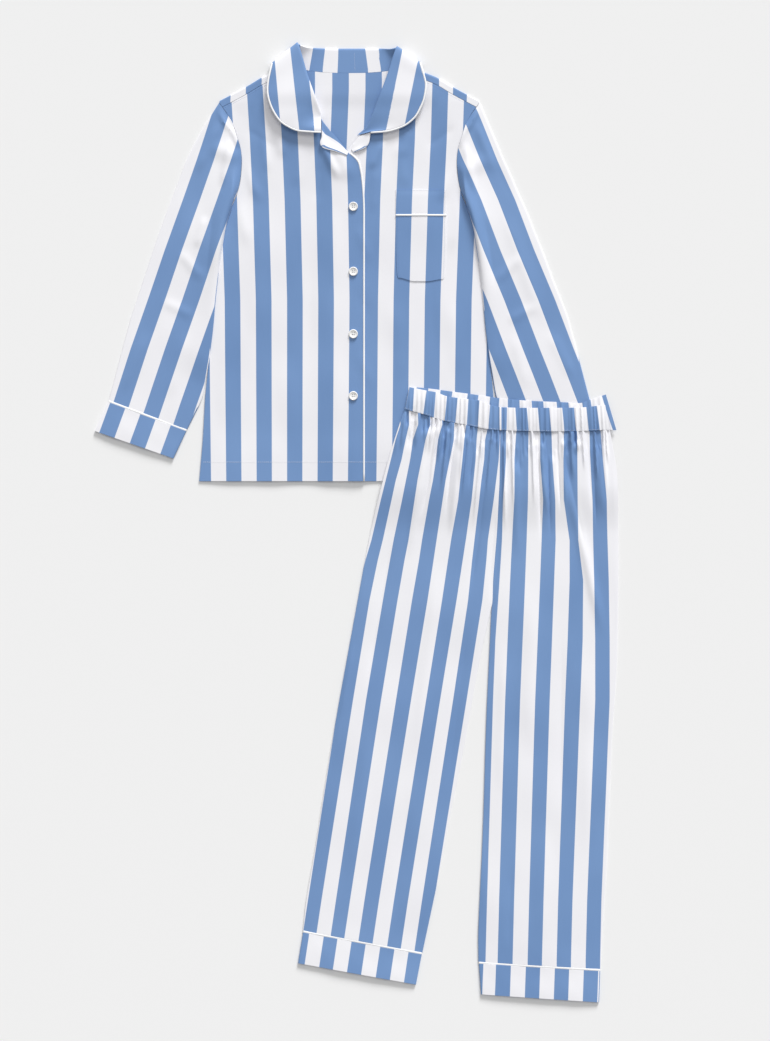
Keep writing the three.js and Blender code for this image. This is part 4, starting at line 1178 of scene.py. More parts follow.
def gathers():
    """Uneven pleats below the waist seam, each fading out at its own length."""
    marks = []
    x = 403.0
    while x < 606:
        seam = seam_pixel(x)
        reach = random.choice([22, 34, 48, 70, 95]) * (0.8 + 0.4 * random.rand())
        lean = (x - 500) * 0.0006 * reach + (-0.12 * reach if x < 495 else 0.02 * reach)
        width = 1.0 + 0.9 * random.rand()
        rise = random.choice([1.7, 1.1, -1.6, 1.3, -1.2])
        marks.append((x, seam - 0.3 * reach, x + lean, seam + reach, width, rise))
        x += 2.8 + 3.2 * random.rand()
    return marks


def pinches():
    """Short sharp nips that cross the waist seam, each beside a small ridge."""
    marks = []
    x = 401.0
    while x < 604:
        seam = seam_pixel(x)
        short = 9 + 12 * random.rand()
        lean = 4 * random.rand() - 2.4
        marks.append((x, seam - 0.7 * short, x + lean, seam + short, 1.4, -4.6))
        marks.append((x + 2.4, seam - 0.5 * short, x + 2.4 + lean, seam + 1.6 * short, 1.4, 1.6))
        x += 4.2 + 4.5 * random.rand()
    return folds(marks)


WAIST_PINCHES = pinches()
LEG_FOLDS = folds(gathers() + [
    # Long creases from the gathers, as the photograph shows them
    (440, 432, 420, 520, 3, -1.3), (462, 432, 450, 540, 3.5, 1.4), (490, 445, 470, 600, 3, -1.1),
    (560, 438, 588, 560, 4, -1.3), (566, 470, 604, 640, 5, 1.5), (537, 438, 549, 520, 3, 1.2),
    (598, 440, 603, 520, 4, 1.1), (515, 440, 517, 560, 4, 0.8), (428, 440, 408, 560, 4, 0.9),
    # Down the legs
    (395, 520, 366, 690, 5, -0.8), (440, 560, 415, 760, 7, 0.8), (470, 610, 446, 800, 7, -0.7),
    (372, 720, 346, 900, 7, 0.7), (410, 780, 392, 930, 7, -0.6), (350, 640, 338, 720, 6, 0.6),
    (532, 580, 528, 760, 8, 0.7), (562, 620, 560, 820, 8, -0.7), (590, 660, 586, 860, 8, 0.7),
    (505, 640, 500, 800, 6, 0.6), (545, 820, 540, 950, 8, 0.6), (512, 860, 508, 950, 6, -0.5),
    (498, 500, 493, 600, 3, -1.2),
])

# %% Legs
LEGS = {
    "right": {
        "left": [
            (117, -309.5), (167, -304), (248, -290), (330, -277), (412, -264), (493, -250), (575, -235),
            (657, -220), (722, -208), (771, -198.5), (820, -187), (886, -170), (951, -150), (966, -144),
        ],
        "right": [
            (81, -115), (199, -90), (330, -64.5), (412, -48), (546, -24), (642, -3), (652, -0.6), (690, 0.8),
            (722, 3.3), (771, 7.2), (820, 9.5), (853, 11), (933, 12),
        ],
        "waist": (-143, 12),
        "ends": ((-318, 64), (-125, 29)),
    },
    "left": {
        "left": [
            (66, -23), (117, -23), (248, -17), (330, -14), (461, -10), (591, -4), (640, -1.6), (652, -0.2),
            (690, 1.2), (722, 3.7), (771, 7.6), (820, 9.9), (853, 11.4), (933, 12.4),
        ],
        "right": [
            (54, 176), (134, 180), (216, 185.5), (330, 190), (454, 196), (542, 202), (624, 204), (722, 205),
            (820, 204), (869, 202), (935, 192),
        ],
        "waist": (12.35, 191),
        "ends": ((-19, 13), (174, 0)),
    },
}
RIGHT_LEG_STRIPES = bands([
    (425, [400.5, 409.0, 418.0, 430.0, 442.0, 454.0, 466.0, 478.0, 488.0, 500.0]),
    (440, [395.7, 405.5, 413.0, 425.5, 438.0, 453.5, 464.0, 476.5, 485.0, 499.5]),
    (460, [390.8, 401.5, 410.0, 421.5, 436.0, 449.5, 462.0, 475.5, 484.0, 498.5]),
    (480, [385.8, 395.8, 406.0, 417.5, 433.0, 445.5, 460.0, 473.5, 481.0, 496.0]),
    (500, [380.8, 391.5, 402.0, 414.5, 429.0, 442.5, 458.0, 471.5, 479.0, 493.5]),
    (540, [371.5, 382.8, 393.6, 408.5, 422.0, 436.5, 451.0, 465.8, 474.3, 487.8]),
    (560, [365.5, 377.8, 390.0, 404.5, 419.0, 433.5, 448.0, 462.7, 472.0, 486.3]),
    (600, [356.0, 369.5, 383.0, 397.5, 412.0, 427.5, 442.0, 456.5, 468.0, 482.3]),
    (700, [339.0, 353.0, 366.0, 381.0, 396.0, 411.0, 426.0, 440.0, 453.0, 466.5]),
    (900, [308.0, 321.5, 336.0, 350.0, 364.5, 379.0, 394.0, 408.0, 422.0, 434.0]),
    (950, [300.5, 314.0, 328.5, 342.5, 357.0, 371.5, 386.5, 400.5, 414.5, 427.0]),
])
LEFT_LEG_STRIPES = bands([
    (425, [495.0, 506.0, 516.6, 528.3, 540.0, 551.0, 564.0, 576.5, 589.0, 599.8]),
    (460, [492.0, 505.5, 514.0, 528.0, 540.0, 552.0, 563.0, 577.0, 590.0, 602.5]),
    (500, [489.0, 503.0, 514.0, 527.7, 543.0, 555.0, 563.5, 577.3, 592.2, 606.3]),
    (540, [486.0, 502.0, 512.0, 526.5, 541.5, 555.5, 569.5, 578.0, 593.0, 607.3]),
    (580, [483.0, 499.5, 510.0, 525.0, 540.0, 554.0, 569.5, 583.0, 593.8, 608.6]),
    (640, [480.5, 495.3, 507.5, 522.5, 537.5, 551.8, 567.5, 582.5, 595.0, 609.5]),
    (700, [478.0, 493.0, 505.0, 520.0, 535.0, 549.5, 565.0, 580.0, 595.0, 609.5]),
    (900, [472.0, 487.0, 499.0, 514.0, 529.0, 543.3, 558.0, 572.3, 587.0, 601.3]),
    (960, [470.5, 485.5, 497.5, 512.5, 527.5, 541.8, 556.5, 570.8, 585.5, 600.0]),
])
CUFF_STRIPES = {
    "right": bands([
        (935, [295.5, 309.0, 324.0, 338.0, 352.5, 367.0, 382.0, 396.5, 411.0, 425.0]),
        (985, [288.0, 301.5, 316.5, 330.5, 345.0, 359.5, 374.5, 389.0, 403.5, 417.5]),
    ]),
    "left": bands([
        (960, [468.5, 483.5, 496.0, 511.0, 526.0, 540.3, 555.0, 569.3, 584.0, 598.5]),
        (1002, [467.0, 482.0, 494.5, 509.5, 524.5, 538.8, 553.5, 567.8, 582.5, 597.0]),
    ]),
}


def leg_outline(sizes):
    start, end = sizes["waist"]

    def far(t):
        x = start + (end - start) * t
        return np.stack([x, waist_seam_at(x) - SEAM], -1)

    def fitted(points, corner):
        edge = by_height(points)
        shift = corner - edge(np.array(1.0))
        return lambda t: edge(t) + shift * smooth((t - 0.9) / 0.1)[..., None]

    corners = far(ENDS)
    return patch(fitted(sizes["left"], corners[0]), fitted(sizes["right"], corners[1]), far=far)


def leg(side, count):
    outline = leg_outline(LEGS[side])
    v = 1 - (1 - np.linspace(0, 1, 190)) ** 1.35
    u = np.linspace(0, 1, 169)
    flat = outline(u, v)
    x, y = flat[..., 0], flat[..., 1]
    air = LEG_PUFF * np.sin(np.pi * u)[None] ** 0.6 * (0.8 + 0.2 * smooth((1 - v) * 9))[:, None]
    at_x, at_y = x + TROUSERS_AT[0], y + TROUSERS_AT[1]
    rise = 2.1 * LEG_FOLDS(at_x, at_y) + WAIST_PINCHES(at_x, at_y) + slack(x, y, 0.9, 110)
    rise = rise * smooth(np.minimum(u, 1 - u) / 0.035)[None] * smooth(v / 0.04)[:, None]
    front = np.dstack([x, y, trouser_base(y) + WALL / 2 + SIDE_LAYER + air + np.maximum(rise, -air - 0.55)])
    few = outline(u[::4], v[::3])
    back = np.dstack([few, trouser_base(few[..., 1]) + WALL / 2])
    cloth(f"trouser_back_{side}_cloth", back, count, TROUSERS_AT, f"trouser_back_{side}")
    cloth(
        f"trouser_front_{side}_cloth", front, count, TROUSERS_AT, f"trouser_front_{side}",
    )
    corners = outline(ENDS, np.array([0.0]))[0]
    ends = LEGS[side]["ends"]
    cuff = cuff_outline(corners[0], corners[1], ends[0], ends[1])
    depth = np.hypot(*(np.array(ends[0]) - corners[0]))
    stations = cuff_stations(depth)
    lift = 0.3 + (LEG_CUFF_LIFT - 0.3) * smooth(stations)
    ring, weave = flat_tube(
        cuff, stations, 36, LEG_CUFF_PUFF, CUFF_STRIPES[side], TROUSERS_AT, cuff_relief, lift=lift
    )
    cloth(
        f"leg_cuff_{side}_cloth", ring, None, TROUSERS_AT, f"leg_cuff_{side}",
        closed=True, weave=weave,
    )
    return cuff, depth


right_leg_cuff, leg_cuff_depth = leg("right", RIGHT_LEG_STRIPES)
left_leg_cuff, _ = leg("left", LEFT_LEG_STRIPES)

# %% [markdown]
# ## Waistband
#
# The band is a casing round flat elastic. The elastic draws the cloth in, so the band is covered
# in fine upright puckers, and its stripes stand closer than on the legs. Its back half shows as a
# narrow strip above the front.

# %% Waistband
FRONT_WAIST_TOP = [
    (-135.5, 1003.8), (-107, 998), (-91, 995), (-75, 989), (-38, 984), (-22, 982), (-6, 975.5), (16, 971),
    (92, 970), (148, 971), (183, 975),
]
BACK_WAIST_TOP = [
    (-136, 1004.5), (-107, 1002), (-61, 996), (-20, 990.5), (15, 985.5), (56, 982), (122, 979), (143, 978),
    (160, 984), (185, 992),
]
WAIST_LEFT_END = -143
WAIST_PUCKER = 1.3
FRONT_BAND_STRIPES = bands([
    (388, [406.0, 414.0, 427.0, 436.0, 447.5, 458.3, 469.0, 479.8, 491.0, 499.6, 501.0, 507.0, 513.6, 524.5,
           535.5, 547.3, 559.8, 571.6, 584.0, 594.0]),
    (432, [403.0, 411.5, 420.5, 432.5, 443.5, 454.5, 466.0, 477.5, 488.0, 499.5, 500.8, 506.2, 516.6, 528.5,
           539.5, 551.0, 564.0, 576.0, 588.5, 599.5]),
])
BACK_BAND_STRIPES = bands([
    (388, [416.5, 428.5, 441.0, 453.0, 468.7, 479.5, 491.0, 500.0, 507.4, 519.0, 530.6, 542.0, 555.0, 566.6,
           579.8, 588.0, 599.2, 603.6]),
    (430, [410.0, 421.0, 434.0, 446.0, 462.0, 473.0, 487.0, 497.0, 508.0, 520.0, 533.0, 545.0, 559.0, 571.0,
           586.0, 595.0, 612.6, 616.0]),
])


def puckers(low, high, step, seed):
    draw = np.random.RandomState(seed)
    marks = []
    x = low
    while x < high:
        lean = (x - 505) * 0.035
        top, bottom = (384 + 6 * draw.rand(), 440 + 6 * draw.rand())
        marks.append((x, top, x + lean, bottom, 0.9 + 0.7 * draw.rand(), draw.choice([1.2, 0.7, -0.6, 0.9])))
        x += step * (0.7 + 0.7 * draw.rand())
    return folds(marks)


def band_net(top, right_end, height, marks, columns):
    """A half of the band, from the waist seam up to its own top edge."""
    read_top = curve(top)

    def near(t):
        x = WAIST_LEFT_END + (right_end - WAIST_LEFT_END) * t
        return np.stack([x, waist_seam_at(x) + SEAM], -1)

    def far(t):
        x = top[0][0] + (top[-1][0] - top[0][0]) * t
        return np.stack([x, read_top(x)], -1)

    (near_left, near_right), (far_left, far_right) = near(ENDS), far(ENDS)
    sides = straight(near_left, far_left), straight(near_right, far_right)
    outline = patch(*sides, near=near, far=far)
    u, v = np.linspace(0, 1, columns), np.linspace(0, 1, 26)
    flat = outline(u, v)
    x, y = flat[..., 0], flat[..., 1]
    at_x, at_y = x + TROUSERS_AT[0], y + TROUSERS_AT[1]
    rise = 1.5 * marks(at_x, at_y) + 0.12 * WAIST_PINCHES(at_x, at_y)
    rise = np.maximum(rise, -1.2) * smooth(np.minimum(u, 1 - u) / 0.02)[None]
    casing = 0.9 * np.sin(np.pi * v)[:, None] ** 0.8
    return np.dstack([x, y, height + WAIST_PUCKER / 2 + casing + rise])


band_back_level = OVER_SHIRT + WALL / 2
band_front_level = band_back_level + WAIST_PUCKER + SIDE_LAYER
cloth(
    "waistband_back_cloth",
    band_net(BACK_WAIST_TOP, 202, band_back_level - WAIST_PUCKER / 2, puckers(400, 618, 6.5, 5), 180),
    BACK_BAND_STRIPES, TROUSERS_AT, "waistband_back",
)
band = cloth(
    "waistband_front_cloth",
    band_net(FRONT_WAIST_TOP, 191, band_front_level, puckers(403, 612, 4.2, 3), 330),
    FRONT_BAND_STRIPES, TROUSERS_AT, "waistband_front",
)

# %% [markdown]
# ## Piping
#
# Piping is a cord wrapped in white bias tape and sewn into an edge. It shows as a rounded white
# line. Along the collar, placket and pocket it is a swept tube, and round the sleeves and legs it is
# a narrow flat ring between the tube and its cuff.

# %% Piping
PIPE_WIDE, PIPE_HIGH = 3.0, 1.7
END_SWELL = 0.55  # how full the last ring of a closed end is


def sweep(name, middles, widthways, node, sides=12):
    """A closed tube of flattened round section along a line of middle points."""
    middles = np.asarray(middles, float)
    run = unit(np.gradient(middles, axis=0))
    level = np.cross(run, [0, 0, 1.0]) if widthways is None else widthways
    above = unit(np.cross(level, run))
    across = unit(np.cross(run, above))
    turn = np.linspace(0, 2 * np.pi, sides, endpoint=False)
    around = across[:, None] * np.cos(turn)[None, :, None] * PIPE_WIDE / 2
    around = around + above[:, None] * np.sin(turn)[None, :, None] * PIPE_HIGH / 2
    rings = middles[:, None] + around
    ends = [middles[0] - run[0] * 0.5, middles[-1] + run[-1] * 0.5]
    first = middles[0] - run[0] * 0.3 + around[0] * END_SWELL
    last = middles[-1] + run[-1] * 0.3 + around[-1] * END_SWELL
    rings = np.concatenate([first[None], rings, last[None]])
    count = len(rings)
    points = np.concatenate([rings.reshape(-1, 3), ends])
    length = np.concatenate([[0], np.linalg.norm(np.diff(rings[:, 0], axis=0), axis=1).cumsum()]) * MM
    faces, uvs = [], []
    for j in range(count - 1):
        for k in range(sides):
            n = (k + 1) % sides
            faces.append((j * sides + k, j * sides + n, (j + 1) * sides + n, (j + 1) * sides + k))
            a, b = k / sides * 0.008, (k + 1) / sides * 0.008
            uvs += [(a, length[j]), (b, length[j]), (b, length[j + 1]), (a, length[j + 1])]
    low, high = len(points) - 2, len(points) - 1
    top = (count - 1) * sides
    for k in range(sides):
        n = (k + 1) % sides
        faces.append((low, n, k))
        faces.append((high, top + k, top + n))
        uvs += [(0, 0)] * 6
    mesh = bpy.data.meshes.new(name)
    mesh.from_pydata((points * MM).tolist(), [], faces)
    layer = mesh.uv_layers.new(name="weave")
    layer.data.foreach_set("uv", np.array(uvs, np.float32).ravel())
    turned = bmesh.new()
    turned.from_mesh(mesh)
    if turned.calc_volume(signed=True) < 0:
        bmesh.ops.reverse_faces(turned, faces=turned.faces)
    turned.to_mesh(mesh)
    turned.free()
    mesh.polygons.foreach_set("use_smooth", np.ones(len(mesh.polygons), bool))
    return finish_piping(name, mesh, node)


def finish_piping(name, mesh, node):
    piece = bpy.data.objects.new(name, mesh)
    bpy.context.scene.collection.objects.link(piece)
    piece.data.materials.clear()
    piece.data.materials.append(PIPING)
    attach(piece, "root")
    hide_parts(node)
    return piece


def collar_piping():
    edge, before = collar_line[:, -1], collar_line[:, -2]
    run = unit(np.gradient(edge, axis=0))
    out = unit(edge - before)
    out[-12:] = out[-12]
    out[:6] = out[6]
    out = unit(out - run * (out * run).sum(1, keepdims=True))
    line = edge + out * (PIPE_WIDE / 2 + CLOTH / 2)
    line[:, 2] = np.maximum(line[:, 2], PIPE_HIGH / 2)
    keep = np.concatenate([[True], np.linalg.norm(np.diff(line, axis=0), axis=1) > 0.2])
    return sweep("collar_piping_tape", line[keep], out[keep], "collar_piping")


def placket_piping():
    edge = right_front[:, -1]
    low = edge[:, 1] - SHIRT_AT[1] < 534
    edge = edge[low]
    run = unit(np.gradient(edge, axis=0))
    line = edge + np.cross(run, [0, 0, 1.0]) * (PIPE_WIDE / 2 + CLOTH / 2)
    line[:, 2] = edge[:, 2]
    return sweep("placket_piping_tape", line, None, "placket_piping")


def pocket_piping():
    x = np.linspace(POCKET_LEFT, POCKET_RIGHT, 30)
    y = np.full_like(x, POCKET_BAND)
    z = left_front_height(x, y) + front_folds(x, y) + POCKET_STEP + 1.1
    line = np.stack([x + SHIRT_AT[0], y + SHIRT_AT[1], z], -1)
    return sweep("pocket_piping_tape", line, None, "pocket_piping")


def ring_piping(name, cuff, depth, puff, at, node):
    stations = (SEAM + np.linspace(-0.3, CUFF_PIPE + 0.3, 7)) / depth
    ring, weave = flat_tube(cuff, stations, 30, puff, lambda x, y: x * MM, at)
    swell = np.sin(np.linspace(0, np.pi, 7))[:, None] * 0.45
    ring = ring + np.array([at[0], at[1], 0])
    ring[..., 2] = np.maximum(ring[..., 2] + net_normals(ring, True)[..., 2] * swell, WALL / 2)
    weave = np.stack([weave, np.broadcast_to(stations[:, None] * depth * MM, weave.shape)], -1)
    piece = shell(name, ring, weave, wall=1.1, closed=True)
    mesh = piece.data
    bpy.data.objects.remove(piece)
    return finish_piping(name, mesh, node)


collar_piping()
placket_piping()
pocket_piping()
for solid, cuff, depth, puff, at in (
    ("cuff_piping_right", right_cuff, cuff_depth, SLEEVE_PUFF, SHIRT_AT),
    ("cuff_piping_left", left_cuff, cuff_depth, SLEEVE_PUFF, SHIRT_AT),
    ("leg_piping_right", right_leg_cuff, leg_cuff_depth, LEG_CUFF_PUFF, TROUSERS_AT),
    ("leg_piping_left", left_leg_cuff, leg_cuff_depth, LEG_CUFF_PUFF, TROUSERS_AT),
):
    ring_piping(solid + "_tape", cuff, depth, puff, at, solid)
print("piping done")

# %% [markdown]
# ## Buttons
#
# Each button is a moulded disc with a raised rim, a dished middle and four holes. One button is
# turned from its profile and pierced, and Geometry Nodes set four of them along the placket.

# %% One button
BUTTON_HEIGHTS = [139, 240, 342, 448]
BUTTON_LINE = 6.5
BUTTON_GAP = 0.25  # air between the cloth and a button
HOLE_RING, HOLE_SIZE = 2.1, 1.6
BUTTON_PROFILE = [
    (0.0, 0.0), (5.2, 0.0), (6.6, 0.25), (7.3, 0.85), (7.5, 1.5), (7.3, 2.15), (6.7, 2.6), (6.1, 2.65),
    (5.5, 2.4), (4.9, 1.95), (3.8, 1.7), (2.0, 1.6), (0.0, 1.6),
]


def turned_button():
    mesh = bpy.data.meshes.new("button_blank")
    form = bmesh.new()
    sides = 40
    rings = []
    for radius, height in BUTTON_PROFILE:
        if radius == 0:
            rings.append([form.verts.new((0, 0, height * MM))])
            continue
        turn = np.linspace(0, 2 * np.pi, sides, endpoint=False)
        circle = [(radius * np.cos(a) * MM, radius * np.sin(a) * MM, height * MM) for a in turn]
        rings.append([form.verts.new(point) for point in circle])
    for low, high in zip(rings, rings[1:]):
        for k in range(sides):
            n = (k + 1) % sides
            if len(low) == 1:
                form.faces.new((low[0], high[n], high[k]))
            elif len(high) == 1:
                form.faces.new((low[k], low[n], high[0]))
            else:
                form.faces.new((low[k], low[n], high[n], high[k]))
    bmesh.ops.recalc_face_normals(form, faces=form.faces)
    form.to_mesh(mesh)
    form.free()
    return bpy.data.objects.new("button_blank", mesh)


def pierced(blank):
    cutter = bmesh.new()
    for k in range(4):
        turn = np.pi / 2 * (k + 0.5)
        made = bmesh.ops.create_cone(
            cutter, cap_ends=True, segments=14, radius1=HOLE_SIZE / 2 * MM,
            radius2=HOLE_SIZE / 2 * MM, depth=8 * MM,
        )
        shift = (HOLE_RING * np.cos(turn) * MM, HOLE_RING * np.sin(turn) * MM, 0)
        bmesh.ops.translate(cutter, verts=made["verts"], vec=shift)
    mesh = bpy.data.meshes.new("holes")
    cutter.to_mesh(mesh)
    cutter.free()
    holes = bpy.data.objects.new("holes", mesh)
    for o in (blank, holes):
        bpy.context.scene.collection.objects.link(o)
    cut = blank.modifiers.new("holes", "BOOLEAN")
    cut.operation, cut.object, cut.solver = "DIFFERENCE", holes, "EXACT"
    made = evaluated_mesh(blank, "button")
    for o in (blank, holes):
        bpy.data.objects.remove(o)
    return made


def evaluated_mesh(o, name):
    """The object's shape with its modifiers applied, as a plain mesh."""
    bpy.context.view_layer.update()
    graph = bpy.context.evaluated_depsgraph_get()
    mesh = bpy.data.meshes.new_from_object(o.evaluated_get(graph), depsgraph=graph)
    mesh.name = name
    return mesh


button_mesh = pierced(turned_button())
print("button faces:", len(button_mesh.polygons))

# %% [markdown]
# Geometry Nodes set copies on points or along a line. One function builds the tree for both jobs:
# it takes the shape to copy, its size, and the spacing along the line. Buttons use given points,
# stitches use the line. Instances are made real at the end, as the exported part keeps meshes only.

# %% Setting copies with Geometry Nodes
def setting_tree(along_line):
    tree = bpy.data.node_groups.new("Stitch line" if along_line else "Set on points", "GeometryNodeTree")
    sockets = [
        ("Geometry", "NodeSocketGeometry"),
        ("Shape", "NodeSocketObject"),
        ("Spacing", "NodeSocketFloat"),
        ("Size", "NodeSocketFloat"),
        ("Finish", "NodeSocketMaterial"),
    ]
    for label, kind in sockets:
        tree.interface.new_socket(name=label, in_out="INPUT", socket_type=kind)
    tree.interface.new_socket(name="Geometry", in_out="OUTPUT", socket_type="NodeSocketGeometry")
    given, out = node(tree, "NodeGroupInput"), node(tree, "NodeGroupOutput")
    source = node(tree, "GeometryNodeObjectInfo")
    wire(tree, given.outputs["Shape"], source.inputs["Object"])
    place = node(tree, "GeometryNodeInstanceOnPoints")
    wire(tree, source.outputs["Geometry"], place.inputs["Instance"])
    wire(tree, given.outputs["Size"], place.inputs["Scale"])
    if along_line:
        line = node(tree, "GeometryNodeMeshToCurve")
        wire(tree, given.outputs["Geometry"], line.inputs["Mesh"])
        stations = node(tree, "GeometryNodeResampleCurve", mode="LENGTH")
        wire(tree, line.outputs["Curve"], stations.inputs["Curve"])
        wire(tree, given.outputs["Spacing"], stations.inputs["Length"])
        tangent = node(tree, "GeometryNodeInputTangent")
        turn = node(tree, "FunctionNodeAlignRotationToVector", axis="X")
        wire(tree, tangent.outputs[0], turn.inputs["Vector"])
        wire(tree, stations.outputs["Curve"], place.inputs["Points"])
        wire(tree, turn.outputs[0], place.inputs["Rotation"])
    else:
        wire(tree, given.outputs["Geometry"], place.inputs["Points"])
    real = node(tree, "GeometryNodeRealizeInstances")
    wire(tree, place.outputs[0], real.inputs[0])
    finish = node(tree, "GeometryNodeSetMaterial")
    wire(tree, real.outputs[0], finish.inputs["Geometry"])
    wire(tree, given.outputs["Finish"], finish.inputs["Material"])
    wire(tree, finish.outputs[0], out.inputs[0])
    return tree


def line_object(name, lines):
    """Loose lines of points in millimetres as one mesh of edges."""
    points, edges = [], []
    for line in lines:
        first = len(points)
        points += (np.asarray(line) * MM).tolist()
        edges += [(first + k, first + k + 1) for k in range(len(line) - 1)]
    mesh = bpy.data.meshes.new(name)
    mesh.from_pydata(points, edges, [])
    made = bpy.data.objects.new(name, mesh)
    bpy.context.scene.collection.objects.link(made)
    return made


def set_copies(name, tree, lines, shape, spacing, finish, size=1.0):
    carrier = line_object(name, lines)
    setting = carrier.modifiers.new("setting", "NODES")
    setting.node_group = tree
    names = {item.name: item.identifier for item in tree.interface.items_tree if item.in_out == "INPUT"}
    setting[names["Shape"]] = shape
    setting[names["Spacing"]] = spacing * MM
    setting[names["Size"]] = size
    setting[names["Finish"]] = finish
    mesh = evaluated_mesh(carrier, name)
    bpy.data.objects.remove(carrier)
    piece = bpy.data.objects.new(name, mesh)
    bpy.context.scene.collection.objects.link(piece)
    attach(piece, "root")
    print(f"{name}: {len(mesh.polygons)} faces")
    return piece


SET_ON_POINTS = setting_tree(False)
STITCH_LINE = setting_tree(True)

# %% Buttons on the placket
button_shape = bpy.data.objects.new("button_shape", button_mesh)
bpy.context.scene.collection.objects.link(button_shape)
seats = np.array([(BUTTON_LINE, height, 0) for height in BUTTON_HEIGHTS], float)
seats[:, 2] = right_front_height(seats[:, 0], seats[:, 1]) + front_folds(seats[:, 0], seats[:, 1])
seats = seats + np.array([SHIRT_AT[0], SHIRT_AT[1], CLOTH / 2 + BUTTON_GAP])
seat_points = [seats[k:k + 1] for k in range(len(seats))]
buttons = set_copies("buttons", SET_ON_POINTS, seat_points, button_shape, 1.0, RESIN)
buttons.data.polygons.foreach_set("use_smooth", np.ones(len(buttons.data.polygons), bool))
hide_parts("button_1", "button_2", "button_3", "button_4")

# %% [markdown]
# ## Sewing
#
# Rows of topstitching hold the hem, the placket, the shoulder seams, the pocket and the waistband,
# and a short row stands in the middle of the collar. One stitch is a short thread that dips into
# the cloth at both ends. The tree repeats it along each line: pale and long on the hem, pale and
# finer on the waistband and collar, and finer in dark blue on the other seams, where the dark
# thread is painted shade for the grooves of those seams and for the pocket's open top.

# %% One stitch
STITCH_PITCH = 3.3
STITCH_LONG = 2.5
FINE_PITCH, FINE_SIZE = 2.2, 0.6  # spacing and scale of the finer stitches
THREAD_THICK = 0.42


def stitch_object():
    mesh = bpy.data.meshes.new("stitch")
    along = np.array([-0.5, -0.42, -0.2, 0.2, 0.42, 0.5]) * STITCH_LONG
    drop = np.array([-0.34, -0.12, 0.0, 0.0, -0.12, -0.34])
    size = np.array([0.35, 0.85, 1.0, 1.0, 0.85, 0.35]) * THREAD_THICK / 2
    sides = 6
    turn = np.linspace(0, 2 * np.pi, sides, endpoint=False)
    points = [
        (x, r * np.cos(a), z + r * np.sin(a)) for x, z, r in zip(along, drop, size) for a in turn
    ]
    faces = []
    for j in range(len(along) - 1):
        for k in range(sides):
            n = (k + 1) % sides
            faces.append((j * sides + k, j * sides + n, (j + 1) * sides + n, (j + 1) * sides + k))
    last = (len(along) - 1) * sides
    faces.append(tuple(reversed(range(sides))))
    faces.append(tuple(last + k for k in range(sides)))
    mesh.from_pydata((np.array(points) * MM).tolist(), [], faces)
    form = bmesh.new()
    form.from_mesh(mesh)
    bmesh.ops.recalc_face_normals(form, faces=form.faces)
    form.to_mesh(mesh)
    form.free()
    layer = mesh.uv_layers.new(name="weave")
    spots = np.array([v.co for v in mesh.vertices])
    corners = np.array([loop.vertex_index for loop in mesh.loops])
    uv = np.stack([spots[corners, 1] * 3, spots[corners, 0]], 1)
    layer.data.foreach_set("uv", uv.astype(np.float32).ravel())
    mesh.polygons.foreach_set("use_smooth", np.ones(len(mesh.polygons), bool))
    made = bpy.data.objects.new("stitch_shape", mesh)
    bpy.context.scene.collection.objects.link(made)
    return made


stitch_shape = stitch_object()

# %% Lines of stitches
ON_CLOTH = CLOTH / 2 + 0.1


def net_line(net, row=None, column=None):
    """A line on a piece along one of its rows or columns, in millimetres, just above the cloth."""
    line = net[row].copy() if row is not None else net[:, column].copy()
    line[:, 2] += ON_CLOTH
    return line


def beside(edge, before, inset=1.1):
    """A line in the ditch beside a piece's edge."""
    line = edge + unit(before - edge) * inset
    line[:, 2] += ON_CLOTH
    return line


def shirt_line(points, height):
    x, y = np.array(points, float).T
    z = height(x, y) + front_folds(x, y) + ON_CLOTH
    return np.stack([x + SHIRT_AT[0], y + SHIRT_AT[1], z], -1)


HEM_STITCH = 31
hem_right = shirt_line([(x, HEM_STITCH) for x in np.linspace(-238, 21, 90)], right_front_height)
hem_left = shirt_line([(x, HEM_STITCH) for x in np.linspace(-18, 239, 90)], left_front_height)
pocket_lines = [
    net_line(pocket, column=1)[3:-2],
    net_line(pocket, column=-2)[3:-2],
    net_line(pocket, row=1)[2:-2],
    # This top row's dark thread paints the shadow in the pocket's open top.
    net_line(pocket, row=-1),
]
placket_stitch = beside(right_front[2:80, -1], right_front[2:80, -2])
seam_lines = [net_line(right_front, row=-2), net_line(left_front, row=-2)]
band_low = net_line(band, row=1)
collar_middle = net_line(collar_line, row=57)[1:8]

set_copies("hem_stitches", STITCH_LINE, [hem_right, hem_left], stitch_shape, STITCH_PITCH, THREAD)
# The dark blue thread on the placket, shoulder and pocket lines is painted groove shade.
for name, lines, thread in (
    ("shirt_stitches", [placket_stitch, *seam_lines], SEAM_SHADE_THREAD),
    ("pocket_stitches", pocket_lines, SEAM_SHADE_THREAD),
    ("waistband_stitches", [band_low], THREAD),
    ("collar_stitches", [collar_middle], THREAD),
):
    set_copies(name, STITCH_LINE, lines, stitch_shape, FINE_PITCH, thread, FINE_SIZE)


# %% Thread through the buttons
def thread_bars():
    """Two bars of thread on each button, from hole to hole."""
    lines = []
    reach = HOLE_RING * np.sqrt(0.5)
    for seat in seats:
        for side in (-1, 1):
            x = seat[0] + side * reach
            y = seat[1] + np.linspace(-reach, reach, 5)
            z = seat[2] + 1.6 + np.array([-0.5, 0.25, 0.4, 0.25, -0.5])
            lines.append(np.stack([np.full(5, x), y, z], -1))
    return lines


set_copies("button_threads", STITCH_LINE, thread_bars(), stitch_shape, 1.1, THREAD)
bpy.data.objects.remove(stitch_shape)
bpy.data.objects.remove(button_shape)

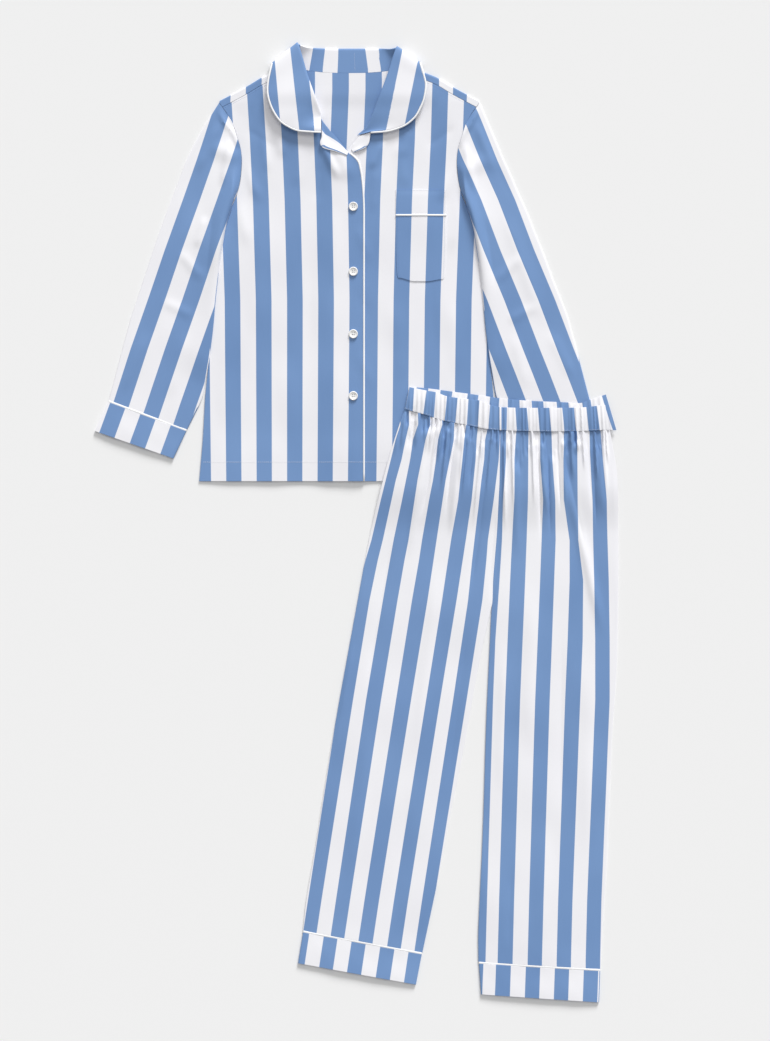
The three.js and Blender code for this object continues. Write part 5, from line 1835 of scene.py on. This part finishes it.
# %% [markdown]
# ## Floor, light and camera
#
# The set lies on a plain pale surface. Light comes softly from above and from the collar's end,
# low enough that cuffs and hems throw a short shadow towards the feet. The camera looks straight
# down from far away, so the outlines keep their true proportions.

# %% Stage
floor_mesh = bpy.data.meshes.new("floor")
floor_mesh.from_pydata([(-6, -6, 0), (6, -6, 0), (6, 6, 0), (-6, 6, 0)], [], [(0, 1, 2, 3)])
floor = bpy.data.objects.new("floor", floor_mesh)
bpy.context.scene.collection.objects.link(floor)
floor_finish, _, floor_shader = material("pale_surface", 0.9)
floor_shader.inputs["Base Color"].default_value = (0.857, 0.857, 0.857, 1)
floor_mesh.materials.append(floor_finish)

world = bpy.data.worlds.new("studio")
world.use_nodes = True
world.node_tree.nodes["Background"].inputs["Color"].default_value = (1.0, 1.0, 1.0, 1)
world.node_tree.nodes["Background"].inputs["Strength"].default_value = 0.435
bpy.context.scene.world = world


def sun(name, direction, strength, spread):
    light = bpy.data.lights.new(name, "SUN")
    light.energy = strength
    light.angle = np.radians(spread)
    made = bpy.data.objects.new(name, light)
    from_vector = np.array(direction, float)
    made.rotation_euler = (
        np.arctan2(np.hypot(from_vector[0], from_vector[1]), from_vector[2]),
        0,
        np.arctan2(from_vector[0], -from_vector[1]),
    )
    bpy.context.scene.collection.objects.link(made)
    return made


sun("key", (0.3, 1.0, 0.42), 3.75, 20)
sun("top", (0.05, 0.45, 1.0), 0.45, 25)

camera_data = bpy.data.cameras.new("camera")
camera_data.sensor_fit = "VERTICAL"
camera_data.sensor_height = 36
camera_data.lens = 100
PHOTO_SIZE = (770, 1041)
frame_height = PHOTO_SIZE[1] * PIXEL * MM
camera = bpy.data.objects.new("camera", camera_data)
bpy.context.scene.collection.objects.link(camera)
camera.location = (
    (PHOTO_SIZE[0] / 2 - ZERO_PIXEL[0]) * PIXEL * MM,
    (ZERO_PIXEL[1] - PHOTO_SIZE[1] / 2) * PIXEL * MM,
    frame_height * camera_data.lens / camera_data.sensor_height,
)
bpy.context.scene.camera = camera
bpy.context.scene.view_settings.view_transform = "Standard"
bpy.context.scene.view_settings.look = "None"

# %% Update of the scene
bpy.context.view_layer.update()
